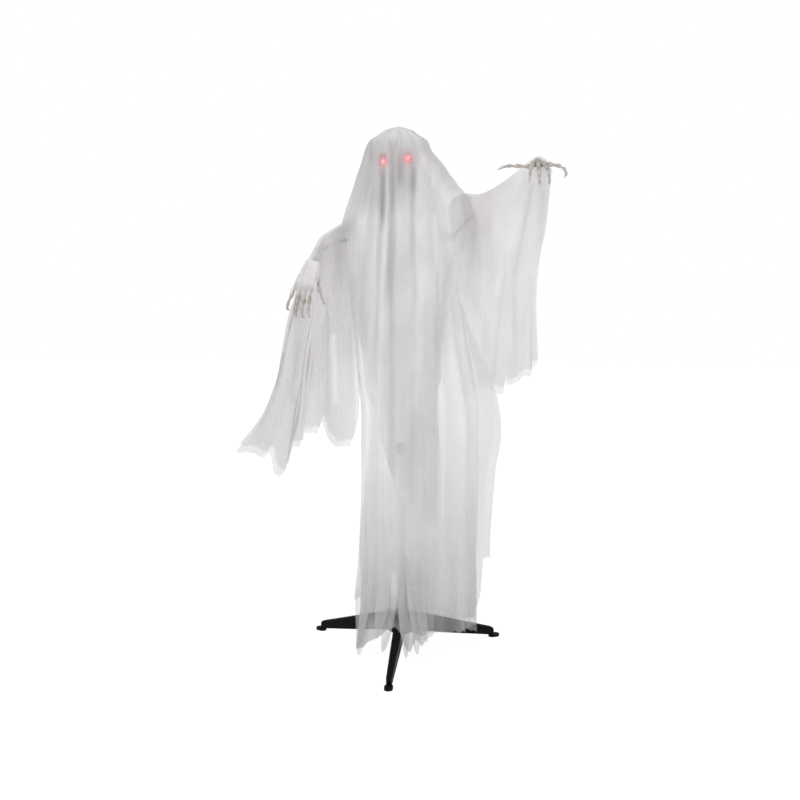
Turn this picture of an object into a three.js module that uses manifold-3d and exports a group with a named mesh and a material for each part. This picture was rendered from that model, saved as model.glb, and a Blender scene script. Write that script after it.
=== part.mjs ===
// A life-size animated ghost: a skull and two bony hands on a motor torso, draped in gauze,
// standing on a black three-legged stand.
// Millimetres, +Z up from the floor. The figure faces -Y and its left side is +X.
import * as THREE from 'three';
import { mergeVertices } from 'three/addons/utils/BufferGeometryUtils.js';
import Module from 'manifold-3d';

const wasm = await Module();
wasm.setup();

const { degToRad, lerp, smoothstep } = THREE.MathUtils;
const vec = (x, y, z) => new THREE.Vector3(x, y, z);

// Clearances
const seatGap = 0.3; // between pieces that are fitted to each other
const clothGap = 0.6; // between a cloth and what it rests on
const clothThickness = 1.6;

// Stand
const legCount = 3;
const footRadius = 326; // pole axis to the middle of each foot
const hubRadius = 40;
const hubBottom = 62;
const hubTop = 120;
const hubCollarRadius = 17;
const hubCollarTop = 168;
const legWidthAtHub = 30;
const legWidthAtFoot = 17;
const legHeightAtFoot = 22;
const legWall = 3;
const legRibCount = 3;
const tongueWidth = 20;
const tongueHeight = 34;
const tongueDepth = 21;
const legScrewRadius = 2.4;
const padLength = 36;
const padWidth = 25;
const padHeight = 8;
const padOverhang = 20; // how far a pad stands out past its leg

// Poles
const poleRadius = 11;
const poleWall = 1.3;
const poleBottom = 74;
const lowerPoleTop = 640;
const poleOverlap = 80;
const poleCollarHeight = 32;
const buttonRadius = 3.4;
const buttonProud = 3;
const hubButtonHeight = 148;

// Torso
const torsoBottom = 1100;
const gearBayHeight = 74; // from the gear shelf to the top
const torsoWidth = 140;
const torsoBack = 45;
const torsoFront = 45;
const torsoSplit = 32; // the cover meets the housing this far in front of the pole
const torsoWall = 3;
const torsoCorner = 14;
const socketDepth = 56;
const shelfThickness = 4;
const bayGap = 8; // left free between the batteries, the board and the shelf
const boardHeight = 32;
const collarRadius = 30;
const collarHeight = 38;

// Neck drive
const gearModule = 2;
const pressureAngle = 25;
const sectorTeeth = 28;
const pinionTeeth = 12;
const sectorSpread = 58; // half the angle that carries teeth
const gearThickness = 8;
const gearLift = 5; // gears above the shelf
const backlash = 0.3;
const neckRadius = 8;
const neckBore = 4.5;
const journalRadius = 6;
const motorShaftRadius = 2;

// Batteries and switch
const cellRadius = 7.1;
const cellLength = 50;
const cellPitch = 15.2;
const doorHalfWidth = 29;
const doorHeight = 66;
const doorThickness = 2.2;
const switchX = 50;
const switchTravel = 6;

// Head
const neckRise = 72; // from the neck collar to the foot of the head
const headTilt = -7; // the head leans to the figure's right
const skullHeight = 187;
const skullWidth = 142;
const skullDepth = 174;
const skullWall = 4;
const skullSplit = 10;
const faceDepth = 25; // thickness of the face, with its pits pressed into it
const eyeX = 36;
const eyeHeight = 98;
const eyeRadius = 4;
const eyeLampDepth = skullDepth * 0.28; // from the neck's axis forwards to the lamp's back
const neckHoleRadius = 36;

// Shoulders, arms and hands
const shoulderX = 150;
const shoulderY = 22;
const shoulderDrop = 15; // below the torso's top
const barRadius = 6;
const barWall = 1.4;
const bracketSocketLength = 22;
const earRadius = 12;
const earThickness = 4;
const boltRadius = 3;
const armEyeThickness = 12;
const armRodRadius = 5;
const wristRadius = 11;
const wristSocketDepth = 22;
const wristScrewRadius = 2;
const knuckleReach = 64;

// Cloths
const robeHalfWidth = 172;
const robeReach = 132; // of the robe's front, from the pole
const robeSwing = 58; // how far the robe's lower part hangs to the figure's left
const robeFoldDepth = 10;
const robeHemHeight = 100;
const drapeDrop = 122; // from the robe's shoulders to where the rear drape leaves it
const drapeFlare = 92;
const drapeStandOff = 30;
const veilLength = 1139;
const veilReach = 250; // of the veil's widest side
const veilFoldDepth = 8;
const leftSleeveDrop = 475; // from the shoulder to the lowest hem
const rightSleeveDrop = 700;
const sleeveFoldDepth = 9;

const stand = new THREE.MeshStandardMaterial({ color: 0x17161a, roughness: 0.45, metalness: 0 });
const rubber = new THREE.MeshStandardMaterial({ color: 0x101010, roughness: 0.85, metalness: 0 });
const steel = new THREE.MeshStandardMaterial({ color: 0x8d9094, roughness: 0.35, metalness: 0.9 });
const blackSteel = new THREE.MeshStandardMaterial({ color: 0x26262a, roughness: 0.4, metalness: 0.6 });
const housing = new THREE.MeshStandardMaterial({ color: 0xcfcdca, roughness: 0.55, metalness: 0 });
const nylon = new THREE.MeshStandardMaterial({ color: 0xe6e2d6, roughness: 0.5, metalness: 0 });
const board = new THREE.MeshStandardMaterial({ color: 0x2c6b3c, roughness: 0.5, metalness: 0 });
const cell = new THREE.MeshStandardMaterial({ color: 0x3c4a5c, roughness: 0.4, metalness: 0.4 });
const bone = new THREE.MeshStandardMaterial({ color: 0xbdb3a6, roughness: 0.75, metalness: 0 });
const redLens = new THREE.MeshStandardMaterial({ color: 0xff3040, roughness: 0.2, metalness: 0 });
const gauze = new THREE.MeshStandardMaterial({ color: 0xd8d2d3, roughness: 0.95, metalness: 0 });

// General shapes

// A geometry with its doubled points merged and its zero-area triangles dropped.
function welded(geometry) {
  const bare = geometry.clone();
  bare.deleteAttribute('normal');
  bare.deleteAttribute('uv');
  const merged = mergeVertices(bare, 1e-4);
  const index = merged.index.array;
  const kept = [];
  for (let i = 0; i < index.length; i += 3) {
    const [a, b, c] = [index[i], index[i + 1], index[i + 2]];
    if (a !== b && b !== c && c !== a) kept.push(a, b, c);
  }
  merged.setIndex(kept);
  return merged;
}

function toSolid(geometry) {
  const mesh = welded(geometry);
  const vertProperties = new Float32Array(mesh.attributes.position.array);
  const triVerts = new Uint32Array(mesh.index.array);
  return new wasm.Manifold(new wasm.Mesh({ numProp: 3, vertProperties, triVerts }));
}

function toGeometry(solid) {
  const { vertProperties, triVerts } = solid.getMesh();
  const geometry = new THREE.BufferGeometry();
  geometry.setAttribute('position', new THREE.BufferAttribute(new Float32Array(vertProperties), 3));
  geometry.setIndex(Array.from(triVerts));
  return geometry;
}

const join = (first, ...others) =>
  toGeometry(others.reduce((sum, other) => sum.add(toSolid(other)), toSolid(first)));
const cut = (body, ...tools) =>
  toGeometry(tools.reduce((rest, tool) => rest.subtract(toSolid(tool)), toSolid(body)));
const common = (first, second) => toGeometry(toSolid(first).intersect(toSolid(second)));

function block(x0, x1, y0, y1, z0, z1) {
  return new THREE.BoxGeometry(x1 - x0, y1 - y0, z1 - z0)
    .translate((x0 + x1) / 2, (y0 + y1) / 2, (z0 + z1) / 2);
}

// A cylinder along one axis from start to end; u and v place it across the other two.
function bar(axis, radius, start, end, u = 0, v = 0, sides = 16, endRadius = radius) {
  const shape = new THREE.CylinderGeometry(endRadius, radius, end - start, sides);
  const middle = (start + end) / 2;
  if (axis === 'x') return shape.rotateZ(-Math.PI / 2).translate(middle, u, v);
  if (axis === 'y') return shape.translate(u, middle, v);
  return shape.rotateX(Math.PI / 2).translate(u, v, middle);
}

// A solid of revolution about Z from [radius, height] points, closed on itself or on the axis.
function turned(points, sides = 24) {
  const outline = points.map(([radius, height]) => new THREE.Vector2(radius, height));
  if (points[0][0] > 0) outline.push(outline[0].clone());
  return facingOut(welded(new THREE.LatheGeometry(outline, sides).rotateX(Math.PI / 2)));
}

function volumeOf(geometry) {
  const p = geometry.attributes.position;
  const index = geometry.index.array;
  const [a, b, c] = [vec(), vec(), vec()];
  let sum = 0;
  for (let i = 0; i < index.length; i += 3) {
    a.fromBufferAttribute(p, index[i]);
    b.fromBufferAttribute(p, index[i + 1]);
    c.fromBufferAttribute(p, index[i + 2]);
    sum += a.dot(b.cross(c)) / 6;
  }
  return sum;
}

function facingOut(geometry) {
  if (volumeOf(geometry) >= 0) return geometry;
  const index = geometry.index.array;
  for (let i = 0; i < index.length; i += 3) [index[i], index[i + 1]] = [index[i + 1], index[i]];
  return geometry;
}

function fromTriangles(points, triangles) {
  const geometry = new THREE.BufferGeometry().setFromPoints(points);
  geometry.setIndex(triangles);
  return facingOut(geometry);
}

// A flat outline pushed along +Z.
function plate(outline, depth, holes = []) {
  const shape = new THREE.Shape(outline.map(([x, y]) => new THREE.Vector2(x, y)));
  for (const [x, y, radius, sides = 12] of holes) {
    shape.holes.push(new THREE.Path(circlePoints(radius, sides, x, y)));
  }
  return new THREE.ExtrudeGeometry(shape, { depth, bevelEnabled: false });
}

function circlePoints(radius, sides, x = 0, y = 0) {
  return Array.from({ length: sides }, (_, i) => {
    const angle = (2 * Math.PI * i) / sides;
    return new THREE.Vector2(x + radius * Math.cos(angle), y + radius * Math.sin(angle));
  });
}

function roundedRectangle(width, height, corner, segments = 4) {
  const points = [];
  for (let quarter = 0; quarter < 4; quarter += 1) {
    const sx = quarter === 0 || quarter === 3 ? 1 : -1;
    const sy = quarter < 2 ? 1 : -1;
    for (let i = 0; i <= segments; i += 1) {
      const angle = (quarter + i / segments) * (Math.PI / 2);
      points.push([
        sx * (width / 2 - corner) + corner * Math.cos(angle),
        sy * (height / 2 - corner) + corner * Math.sin(angle),
      ]);
    }
  }
  return points;
}

// A body skinned over rings of equally many points, with both ends capped.
function skinned(rings) {
  const count = rings[0].length;
  const triangles = [];
  for (let r = 0; r + 1 < rings.length; r += 1) {
    for (let i = 0; i < count; i += 1) {
      const a = r * count + i;
      const b = r * count + ((i + 1) % count);
      triangles.push(a, b, a + count, b, b + count, a + count);
    }
  }
  const cap = (ring, offset, turnedRound) => {
    const [u, v] = planeAxes(ring);
    const flat = ring.map((p) => new THREE.Vector2(p.dot(u), p.dot(v)));
    for (const [a, b, c] of THREE.ShapeUtils.triangulateShape(flat, [])) {
      const clockwise = THREE.ShapeUtils.isClockWise([flat[a], flat[b], flat[c]]);
      if (clockwise === turnedRound) triangles.push(offset + a, offset + b, offset + c);
      else triangles.push(offset + a, offset + c, offset + b);
    }
  };
  cap(rings[0], 0, true);
  cap(rings.at(-1), (rings.length - 1) * count, false);
  return fromTriangles(rings.flat(), triangles);
}

// Two axes across a ring, taken from its own area vector.
function planeAxes(ring) {
  const normal = vec(0, 0, 0);
  for (let i = 0; i < ring.length; i += 1) {
    normal.add(ring[i].clone().cross(ring[(i + 1) % ring.length]));
  }
  normal.normalize();
  const helper = Math.abs(normal.z) < 0.9 ? vec(0, 0, 1) : vec(1, 0, 0);
  const u = helper.cross(normal).normalize();
  return [u, normal.clone().cross(u)];
}

// A tube whose radius changes along a list of points; its section keeps one side up.
function taperedTube(points, radii, sides = 5) {
  let up = vec(0.1, 0.2, 1);
  const rings = points.map((point, i) => {
    const along = points[Math.min(i + 1, points.length - 1)].clone()
      .sub(points[Math.max(i - 1, 0)]).normalize();
    const side = along.clone().cross(up).normalize();
    up = side.clone().cross(along);
    return circlePoints(radii[i], sides)
      .map((c) => point.clone().addScaledVector(side, c.x).addScaledVector(up, c.y));
  });
  return skinned(rings);
}

// A value that runs straight between a few [place, value] pairs, in order of place. Both can be
// shares, of the largest value and of the whole length.
function profile(pairs, largest = 1, whole = 1) {
  return (distance) => {
    const place = distance / whole;
    const next = pairs.findIndex(([at]) => at > place);
    if (next === 0) return largest * pairs[0][1];
    if (next < 0) return largest * pairs.at(-1)[1];
    const [x0, y0] = pairs[next - 1];
    const [x1, y1] = pairs[next];
    return largest * lerp(y0, y1, (place - x0) / (x1 - x0));
  };
}

// A thin sheet with thickness over the surface at(u, v); columns close into a loop when
// around is true, and the first row shrinks to one point when crown is true.
function sheet(at, columns, rows, { around = false, crown = false, thickness = clothThickness } = {}) {
  const wide = around ? columns : columns + 1;
  const grid = [];
  for (let r = 0; r <= rows; r += 1) {
    for (let c = 0; c < wide; c += 1) grid.push(at(c / columns, r / rows));
  }
  const get = (r, c) => grid[r * wide + (around ? (c + wide) % wide : Math.min(Math.max(c, 0), wide - 1))];
  const outer = [];
  const inner = [];
  for (let r = 0; r <= rows; r += 1) {
    for (let c = 0; c < wide; c += 1) {
      const across = get(r, c + 1).clone().sub(get(r, c - 1));
      const down = get(Math.min(r + 1, rows), c).clone().sub(get(Math.max(r - 1, 0), c));
      const normal = crown && r === 0 ? vec(0, 0, 1) : down.cross(across).normalize();
      outer.push(get(r, c).clone().addScaledVector(normal, thickness / 2));
      inner.push(get(r, c).clone().addScaledVector(normal, -thickness / 2));
    }
  }
  const size = outer.length;
  const triangles = [];
  const id = (r, c) => (crown && r === 0 ? 0 : r * wide + (around ? c % wide : c));
  const quad = (a, b, c, d) => triangles.push(a, b, c, a, c, d);
  for (let r = 0; r < rows; r += 1) {
    for (let c = 0; c < (around ? wide : wide - 1); c += 1) {
      const [a, b, e, f] = [id(r, c), id(r, c + 1), id(r + 1, c + 1), id(r + 1, c)];
      quad(a, b, e, f);
      quad(size + f, size + e, size + b, size + a);
    }
  }
  for (let c = 0; c < (around ? wide : wide - 1); c += 1) {
    if (!crown) quad(id(0, c + 1), id(0, c), size + id(0, c), size + id(0, c + 1));
    quad(id(rows, c), id(rows, c + 1), size + id(rows, c + 1), size + id(rows, c));
  }
  if (!around) {
    for (let r = 0; r < rows; r += 1) {
      quad(id(r, 0), id(r + 1, 0), size + id(r + 1, 0), size + id(r, 0));
      quad(id(r + 1, columns), id(r, columns), size + id(r, columns), size + id(r + 1, columns));
    }
  }
  return facingOut(welded(fromTriangles([...outer, ...inner], triangles)));
}

const figure = new THREE.Group();

function add(name, geometry, material, parent = figure) {
  const clean = welded(geometry);
  clean.computeVertexNormals();
  const mesh = new THREE.Mesh(clean, material);
  mesh.name = name;
  parent.add(mesh);
  return mesh;
}

// Stand

const legEnd = footRadius + padLength / 2 - padOverhang;
const legNose = legWidthAtFoot / 2;
const legBase = padHeight + seatGap;
const poleBore = poleRadius + seatGap;
const legScrewPlace = hubRadius - tongueDepth / 2;
const tongueMiddle = (hubBottom + hubTop) / 2;

function hubGeometry() {
  const corner = 6;
  const body = turned([
    [0, hubBottom], [hubRadius - corner, hubBottom], [hubRadius, hubBottom + corner],
    [hubRadius, hubTop - corner], [hubRadius - corner, hubTop], [hubCollarRadius + corner, hubTop],
    [hubCollarRadius, hubTop + 2 * corner], [hubCollarRadius, hubCollarTop - 2],
    [hubCollarRadius - 2, hubCollarTop], [0, hubCollarTop],
  ], 16);
  const cuts = [
    bar('z', poleBore, poleBottom - seatGap, hubCollarTop + 1, 0, 0, 14),
    bar('x', buttonRadius + seatGap, 0, hubCollarRadius + 1, 0, hubButtonHeight, 10),
  ];
  for (let i = 0; i < legCount; i += 1) {
    const angle = legAngle(i);
    cuts.push(
      block(
        hubRadius - tongueDepth - seatGap, hubRadius + 1,
        -tongueWidth / 2 - seatGap, tongueWidth / 2 + seatGap,
        tongueMiddle - tongueHeight / 2 - seatGap, tongueMiddle + tongueHeight / 2 + seatGap,
      ).rotateZ(angle),
      bar('z', legScrewRadius + seatGap, hubBottom - 1, tongueMiddle, legScrewPlace, 0, 8).rotateZ(angle),
    );
  }
  return cut(body, ...cuts);
}

const legAngle = (i) => -Math.PI / 2 + (2 * Math.PI * i) / legCount;

// The leg is a channel open below, tapering from the hub to the foot, made along +X.
function legGeometry() {
  const start = hubRadius + seatGap;
  const sectionAt = (x) => {
    const t = (x - start) / (legEnd - start);
    const half = lerp(legWidthAtHub, legWidthAtFoot, t) / 2;
    const top = lerp(hubTop, legBase + legHeightAtFoot, t);
    const bottom = lerp(hubBottom, legBase, Math.min(1, t / 0.93));
    const bevel = lerp(3.8, 3.2, t);
    return { half, top, bottom, bevel };
  };
  const ring = (x, shrink) => {
    const { half, top, bottom, bevel } = sectionAt(x);
    const h = half * shrink;
    const high = lerp(bottom, top, 0.35 + 0.65 * shrink);
    return [
      vec(x, -h, bottom), vec(x, -h + legWall * shrink, bottom),
      vec(x, -h + legWall * shrink, high - legWall), vec(x, h - legWall * shrink, high - legWall),
      vec(x, h - legWall * shrink, bottom), vec(x, h, bottom),
      vec(x, h, high - bevel), vec(x, h - bevel * shrink, high),
      vec(x, -h + bevel * shrink, high), vec(x, -h, high - bevel),
    ];
  };
  const rings = [ring(start, 1), ring(lerp(start, legEnd, 0.5), 1), ring(legEnd - legNose, 1),
    ring(legEnd - 0.4 * legNose, 0.9), ring(legEnd, 0.55)];
  const ribs = [];
  for (let i = 0; i < legRibCount; i += 1) {
    const x = lerp(start + 20, legEnd - 60, i / (legRibCount - 1));
    const { half, top, bottom } = sectionAt(x);
    ribs.push(block(x, x + 2, -half + 1, half - 1, bottom + 4, top - 1.5));
  }
  const rootPlate = block(
    start, start + 5, -legWidthAtHub / 2 + 1, legWidthAtHub / 2 - 1, hubBottom + 3, hubTop - 4,
  );
  const tongue = block(
    hubRadius - tongueDepth, start + 3, -tongueWidth / 2, tongueWidth / 2,
    tongueMiddle - tongueHeight / 2, tongueMiddle + tongueHeight / 2,
  );
  const screwHole = bar('z', legScrewRadius + seatGap, hubBottom, tongueMiddle + 4, legScrewPlace, 0, 8);
  return cut(join(skinned(rings), ...ribs, rootPlate, tongue), screwHole);
}

function padGeometry() {
  const outline = roundedRectangle(padLength, padWidth, padWidth / 2 - 0.5, 3);
  const base = plate(outline, padHeight).translate(footRadius, 0, 0);
  const plugHalf = legNose - legWall - 2 * seatGap;
  const plugEnd = legEnd - legNose - seatGap;
  const plug = block(plugEnd - 7, plugEnd, -plugHalf, plugHalf, padHeight - 1, padHeight + 10);
  return join(base, plug);
}

function screwGeometry(radius, length, headRadius, headHeight) {
  return turned([
    [0, 0], [headRadius, 0], [headRadius, headHeight], [radius, headHeight],
    [radius, headHeight + length - radius], [radius / 3, headHeight + length], [0, headHeight + length],
  ], 8);
}

add('base_hub', hubGeometry(), stand);
['front', 'left', 'right'].forEach((side, i) => {
  const leg = new THREE.Group();
  leg.rotation.z = legAngle(i);
  figure.add(leg);
  add(`${side}_leg`, legGeometry(), stand, leg);
  add(`${side}_foot_pad`, padGeometry(), rubber, leg);
  const screw = screwGeometry(legScrewRadius, 24, 4.6, 3)
    .translate(legScrewPlace, 0, hubBottom - 3 - seatGap);
  add(`${side}_leg_screw`, screw, steel, leg);
});

// Poles

const innerPoleRadius = poleRadius - poleWall - seatGap;
const poleTop = torsoBottom + socketDepth;
const upperPoleBottom = lowerPoleTop - poleOverlap;
const upperButtonHeight = lowerPoleTop - poleOverlap / 2;

function tube(radius, wall, bottom, top, holeHeight) {
  const ring = turned([[radius - wall, bottom], [radius, bottom], [radius, top], [radius - wall, top]], 16);
  return cut(ring, bar('x', buttonRadius + seatGap, 0, radius + 1, 0, holeHeight, 10));
}

// A spring button: a domed pin on a flange that the tube's inside traps.
function buttonGeometry(boreRadius, outerRadius) {
  const flange = Math.sqrt(boreRadius ** 2 - (buttonRadius + 1.2) ** 2) - seatGap;
  const tip = outerRadius + buttonProud;
  return turned([
    [0, flange - 1.5], [buttonRadius + 1.2, flange - 1.5], [buttonRadius + 1.2, flange],
    [buttonRadius, flange], [buttonRadius, tip - 1.6], [buttonRadius * 0.75, tip - 0.4], [0, tip],
  ], 10).rotateY(Math.PI / 2);
}

add('lower_pole', cut(
  tube(poleRadius, poleWall, poleBottom, lowerPoleTop, hubButtonHeight),
  bar('x', buttonRadius + seatGap, 0, poleRadius + 1, 0, upperButtonHeight, 10),
), steel);
add('upper_pole', tube(innerPoleRadius, poleWall, upperPoleBottom, poleTop, upperButtonHeight), steel);
add('pole_collar', turned([
  [innerPoleRadius + seatGap, lowerPoleTop + seatGap], [poleRadius, lowerPoleTop + seatGap],
  [poleRadius + seatGap, lowerPoleTop + seatGap], [poleRadius + seatGap, lowerPoleTop - poleCollarHeight / 2],
  [poleRadius + 4, lowerPoleTop - poleCollarHeight / 2], [poleRadius + 4, lowerPoleTop + 6],
  [poleRadius + 1, lowerPoleTop + poleCollarHeight / 2],
  [innerPoleRadius + seatGap, lowerPoleTop + poleCollarHeight / 2],
], 16), stand);
add('hub_snap_button', buttonGeometry(poleRadius - poleWall, hubCollarRadius)
  .translate(0, 0, hubButtonHeight), steel);
add('pole_snap_button', buttonGeometry(innerPoleRadius - poleWall, poleRadius)
  .translate(0, 0, upperButtonHeight), steel);

// Torso housing

const pocketBottom = torsoBottom + 6;
const pocketTop = pocketBottom + cellLength + bayGap;
const boardBottom = pocketTop + bayGap;
const shelfBottom = boardBottom + boardHeight + bayGap;
const shelfTop = shelfBottom + shelfThickness;
const torsoTop = shelfTop + gearBayHeight;
const torsoMiddle = (torsoBottom + torsoTop) / 2;
const torsoHeight = torsoTop - torsoBottom;
const shoulderZ = torsoTop - shoulderDrop;
const boxOutline = (inset) => roundedRectangle(
  torsoWidth - 2 * inset, torsoHeight - 2 * inset, torsoCorner - inset / 2, 2,
);

// A rounded box whose outline stands in XZ, from y0 back to y1.
function slab(inset, y0, y1) {
  return plate(boxOutline(inset), y1 - y0).rotateX(Math.PI / 2)
    .translate(0, y1, torsoMiddle);
}

const pocketHalfWidth = 1.5 * cellPitch + 2;
const pocketDepth = 2 * cellRadius + 4;
const doorFace = torsoBack - torsoWall; // the door lies just outside this plane
const doorTop = torsoBottom + doorHeight;
const cellY = doorFace - pocketDepth + cellRadius + seatGap + torsoWall;
const boardSize = [66, 1.6, boardHeight];
const boardX = -26;
const boardY = doorFace - 4;
const boardPegs = [-26, 26];
const boardMiddle = boardBottom + boardHeight / 2;
const motorX = (gearModule * (sectorTeeth + pinionTeeth)) / 2;
const switchZ = boardBottom + 14;
const coverScrewInset = [12, 20];
const coverScrewPlaces = [-1, 1].flatMap((side) => [
  [side * (torsoWidth / 2 - coverScrewInset[0]), torsoBottom + coverScrewInset[1]],
  [side * (torsoWidth / 2 - coverScrewInset[0]), torsoTop - coverScrewInset[1]],
]);
const coverScrewRadius = 1.6;

function housingGeometry() {
  const shell = cut(slab(0, -torsoSplit, torsoBack), slab(torsoWall, -torsoSplit - 1, doorFace));
  const shelf = block(
    -torsoWidth / 2 + 1, torsoWidth / 2 - 1, -20, doorFace + 1, shelfBottom, shelfTop,
  );
  const poleBoss = bar('z', poleRadius + 3, torsoBottom + 1, poleTop + 3, 0, 0, 14);
  const pocketBox = block(
    -doorHalfWidth - 2, doorHalfWidth + 2, doorFace - pocketDepth, doorFace + 1,
    pocketBottom - 2, doorTop + 3,
  );
  const doorFrame = block(
    -doorHalfWidth - 4, doorHalfWidth + 4, doorFace + 1, doorFace + 5.2, torsoBottom + 1, doorTop + 5,
  );
  const pegs = boardPegs.flatMap((x) => [
    bar('y', 3, boardY + boardSize[1] + seatGap, doorFace + 1, boardX + x, boardMiddle, 6),
    bar('y', 1.3, boardY - 1, doorFace, boardX + x, boardMiddle, 6),
  ]);
  const screwBosses = coverScrewPlaces.map(([x, z]) => bar('y', 5, -torsoSplit + 0.2, doorFace + 1, x, z, 6));
  const solid = join(shell, shelf, poleBoss, pocketBox, doorFrame, ...pegs, ...screwBosses);
  return cut(
    join(solid, collarGeometry()),
    collarHollow(),
    bar('z', innerPoleRadius + seatGap, torsoBottom - 1, poleTop + seatGap, 0, 0, 16),
    bar('z', neckRadius + 4 + seatGap, torsoTop - 7, torsoTop + collarHeight + 1, 0, 0, 20),
    bar('z', journalRadius + seatGap, shelfBottom - 1, shelfTop + 1, 0, 0, 16),
    bar('z', 5, shelfBottom - 1, shelfTop + 1, motorX, 0, 8),
    bar('x', barRadius + seatGap, -torsoWidth, torsoWidth, shoulderY, shoulderZ, 16),
    block(
      -pocketHalfWidth, pocketHalfWidth, doorFace - pocketDepth + torsoWall, doorFace + 8,
      pocketBottom, pocketTop,
    ),
    block(
      -doorHalfWidth - seatGap, doorHalfWidth + seatGap, doorFace, doorFace + doorThickness + 2 * seatGap,
      torsoBottom - 1, doorTop + seatGap,
    ),
    block(-doorHalfWidth + 2, doorHalfWidth - 2, doorFace, doorFace + 8, torsoBottom - 1, doorTop),
    block(switchX - 3.3, switchX + 3.3, doorFace - 1, torsoBack + 1, switchZ - 6, switchZ + 6),
    ...coverScrewPlaces.map(([x, z]) => bar('y', coverScrewRadius + seatGap, -torsoSplit - 1, 0, x, z, 8)),
  );
}

// The round neck collar on top carries the neck bush and holds the robe's neckline.
function collarGeometry() {
  const top = torsoTop + collarHeight;
  return turned([
    [neckRadius, torsoTop - 5], [neckRadius + 8, torsoTop - 5], [neckRadius + 8, torsoTop],
    [collarRadius, torsoTop], [collarRadius, top - 2], [collarRadius - 2, top], [neckRadius, top],
  ], 16);
}

function collarHollow() {
  return turned([
    [neckRadius + 8, torsoTop - 6], [collarRadius - 3, torsoTop - 6],
    [collarRadius - 3, torsoTop + collarHeight - 4], [neckRadius + 8, torsoTop + collarHeight - 4],
  ], 12);
}

const speakerZ = torsoBottom + 52;
const speakerRadius = 28;

function coverGeometry() {
  const bevel = 4;
  const outline = new THREE.Shape(boxOutline(bevel).map(([x, y]) => new THREE.Vector2(x, y)));
  const face = new THREE.ExtrudeGeometry(outline, {
    depth: torsoFront - torsoSplit - bevel - seatGap,
    bevelThickness: bevel,
    bevelSize: bevel,
    bevelSegments: 1,
  }).rotateX(Math.PI / 2).translate(0, -torsoSplit - seatGap, torsoMiddle);
  const trimmed = common(face, block(
    -torsoWidth, torsoWidth, -torsoFront - 1, -torsoSplit - seatGap, torsoBottom - 1, torsoTop + 1,
  ));
  const hollow = slab(torsoWall + 1, -torsoFront + torsoWall, -torsoSplit + 1);
  const slots = [];
  for (let i = -3; i <= 3; i += 1) {
    const z = speakerZ + i * 6;
    const half = Math.sqrt((speakerRadius - 5) ** 2 - (i * 6) ** 2);
    slots.push(block(-half, half, -torsoFront - 1, -torsoFront + torsoWall + 1, z - 1.5, z + 1.5));
  }
  const bosses = coverScrewPlaces.map(
    ([x, z]) => bar('y', 4.5, -torsoFront + 1, -torsoSplit - seatGap, x, z, 6),
  );
  const screwHoles = coverScrewPlaces.flatMap(([x, z]) => [
    bar('y', coverScrewRadius + seatGap, -torsoFront - 1, -torsoSplit, x, z, 8),
    bar('y', 3.8, -torsoFront - 1, -torsoFront + 2.5, x, z, 8),
  ]);
  return cut(join(cut(trimmed, hollow), ...bosses), ...slots, ...screwHoles);
}

add('torso_housing', housingGeometry(), housing);
add('torso_cover', coverGeometry(), housing);
coverScrewPlaces.forEach(([x, z], i) => {
  const screw = screwGeometry(coverScrewRadius, 22, 3.2, 1.8).rotateX(-Math.PI / 2)
    .translate(x, -torsoFront + 2.5 - 1.8 - seatGap, z);
  add(`cover_screw_${i + 1}`, screw, steel);
});

// Speaker, board, batteries and switch

const speakerFront = -torsoFront + torsoWall + seatGap;
add('speaker', turned([
  [0, 6], [8, 5], [21, 0.6], [24, 0.6], [25, 0], [speakerRadius, 0], [speakerRadius, 2],
  [26, 3], [17, 11], [15, 11], [15, 17], [0, 17],
], 12).rotateX(-Math.PI / 2).translate(0, speakerFront, speakerZ), blackSteel);

function circuitBoardGeometry() {
  const [width, thickness, height] = boardSize;
  const base = block(-width / 2, width / 2, 0, thickness, 0, height);
  const chips = [
    block(-10, 8, -2.4, 0.2, 6, 18), block(13, 21, -5, 0.2, 20, 28), block(-20, -13, -6, 0.2, 4, 10),
    bar('y', 4, -11, 0.2, -20, 24, 8),
  ];
  const holes = boardPegs.map((x) => bar('y', 1.3 + seatGap, -1, thickness + 1, x, height / 2, 8));
  return cut(join(base, ...chips), ...holes).translate(boardX, boardY, boardBottom);
}

add('circuit_board', circuitBoardGeometry(), board);
for (let i = 0; i < 3; i += 1) {
  const dry = turned([
    [0, 0], [cellRadius - 1, 0], [cellRadius, 0.8], [cellRadius, cellLength - 2.2],
    [cellRadius - 1, cellLength - 1.4], [2.6, cellLength - 1.4], [2.6, cellLength], [0, cellLength],
  ], 10).translate((i - 1) * cellPitch, cellY, pocketBottom + seatGap);
  add(`battery_${i + 1}`, dry, cell);
}

function doorGeometry() {
  const panel = block(
    -doorHalfWidth, doorHalfWidth, doorFace + seatGap, doorFace + seatGap + doorThickness,
    torsoBottom, doorTop,
  );
  const ribs = [0, 1, 2, 3].map((i) => block(
    -10, 10, doorFace + doorThickness, doorFace + doorThickness + 2,
    torsoBottom + 8 + 4 * i, torsoBottom + 10 + 4 * i,
  ));
  return join(panel, ...ribs);
}

add('battery_door', doorGeometry(), housing);
add('switch_body', cut(
  block(switchX - 5, switchX + 5, doorFace - 9, doorFace - seatGap, switchZ - 10, switchZ + 10),
  block(switchX - 3.6, switchX + 3.6, doorFace - 5, doorFace, switchZ - 8, switchZ + 8),
), blackSteel);
add('switch_slider', join(
  block(
    switchX - 3.2, switchX + 3.2, doorFace - 4.6, doorFace - 2.4,
    switchZ - 7.4, switchZ + 7.4 - switchTravel,
  ),
  block(
    switchX - 2.6, switchX + 2.6, doorFace - 3, torsoBack + 2.5,
    switchZ - 5.4, switchZ + 5.4 - switchTravel,
  ),
), nylon);

// Neck drive: a pinion on the gear motor turns a toothed sector on the neck shaft

const gearBottom = shelfTop + gearLift;
const involute = (angle) => Math.tan(angle) - angle;

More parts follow.
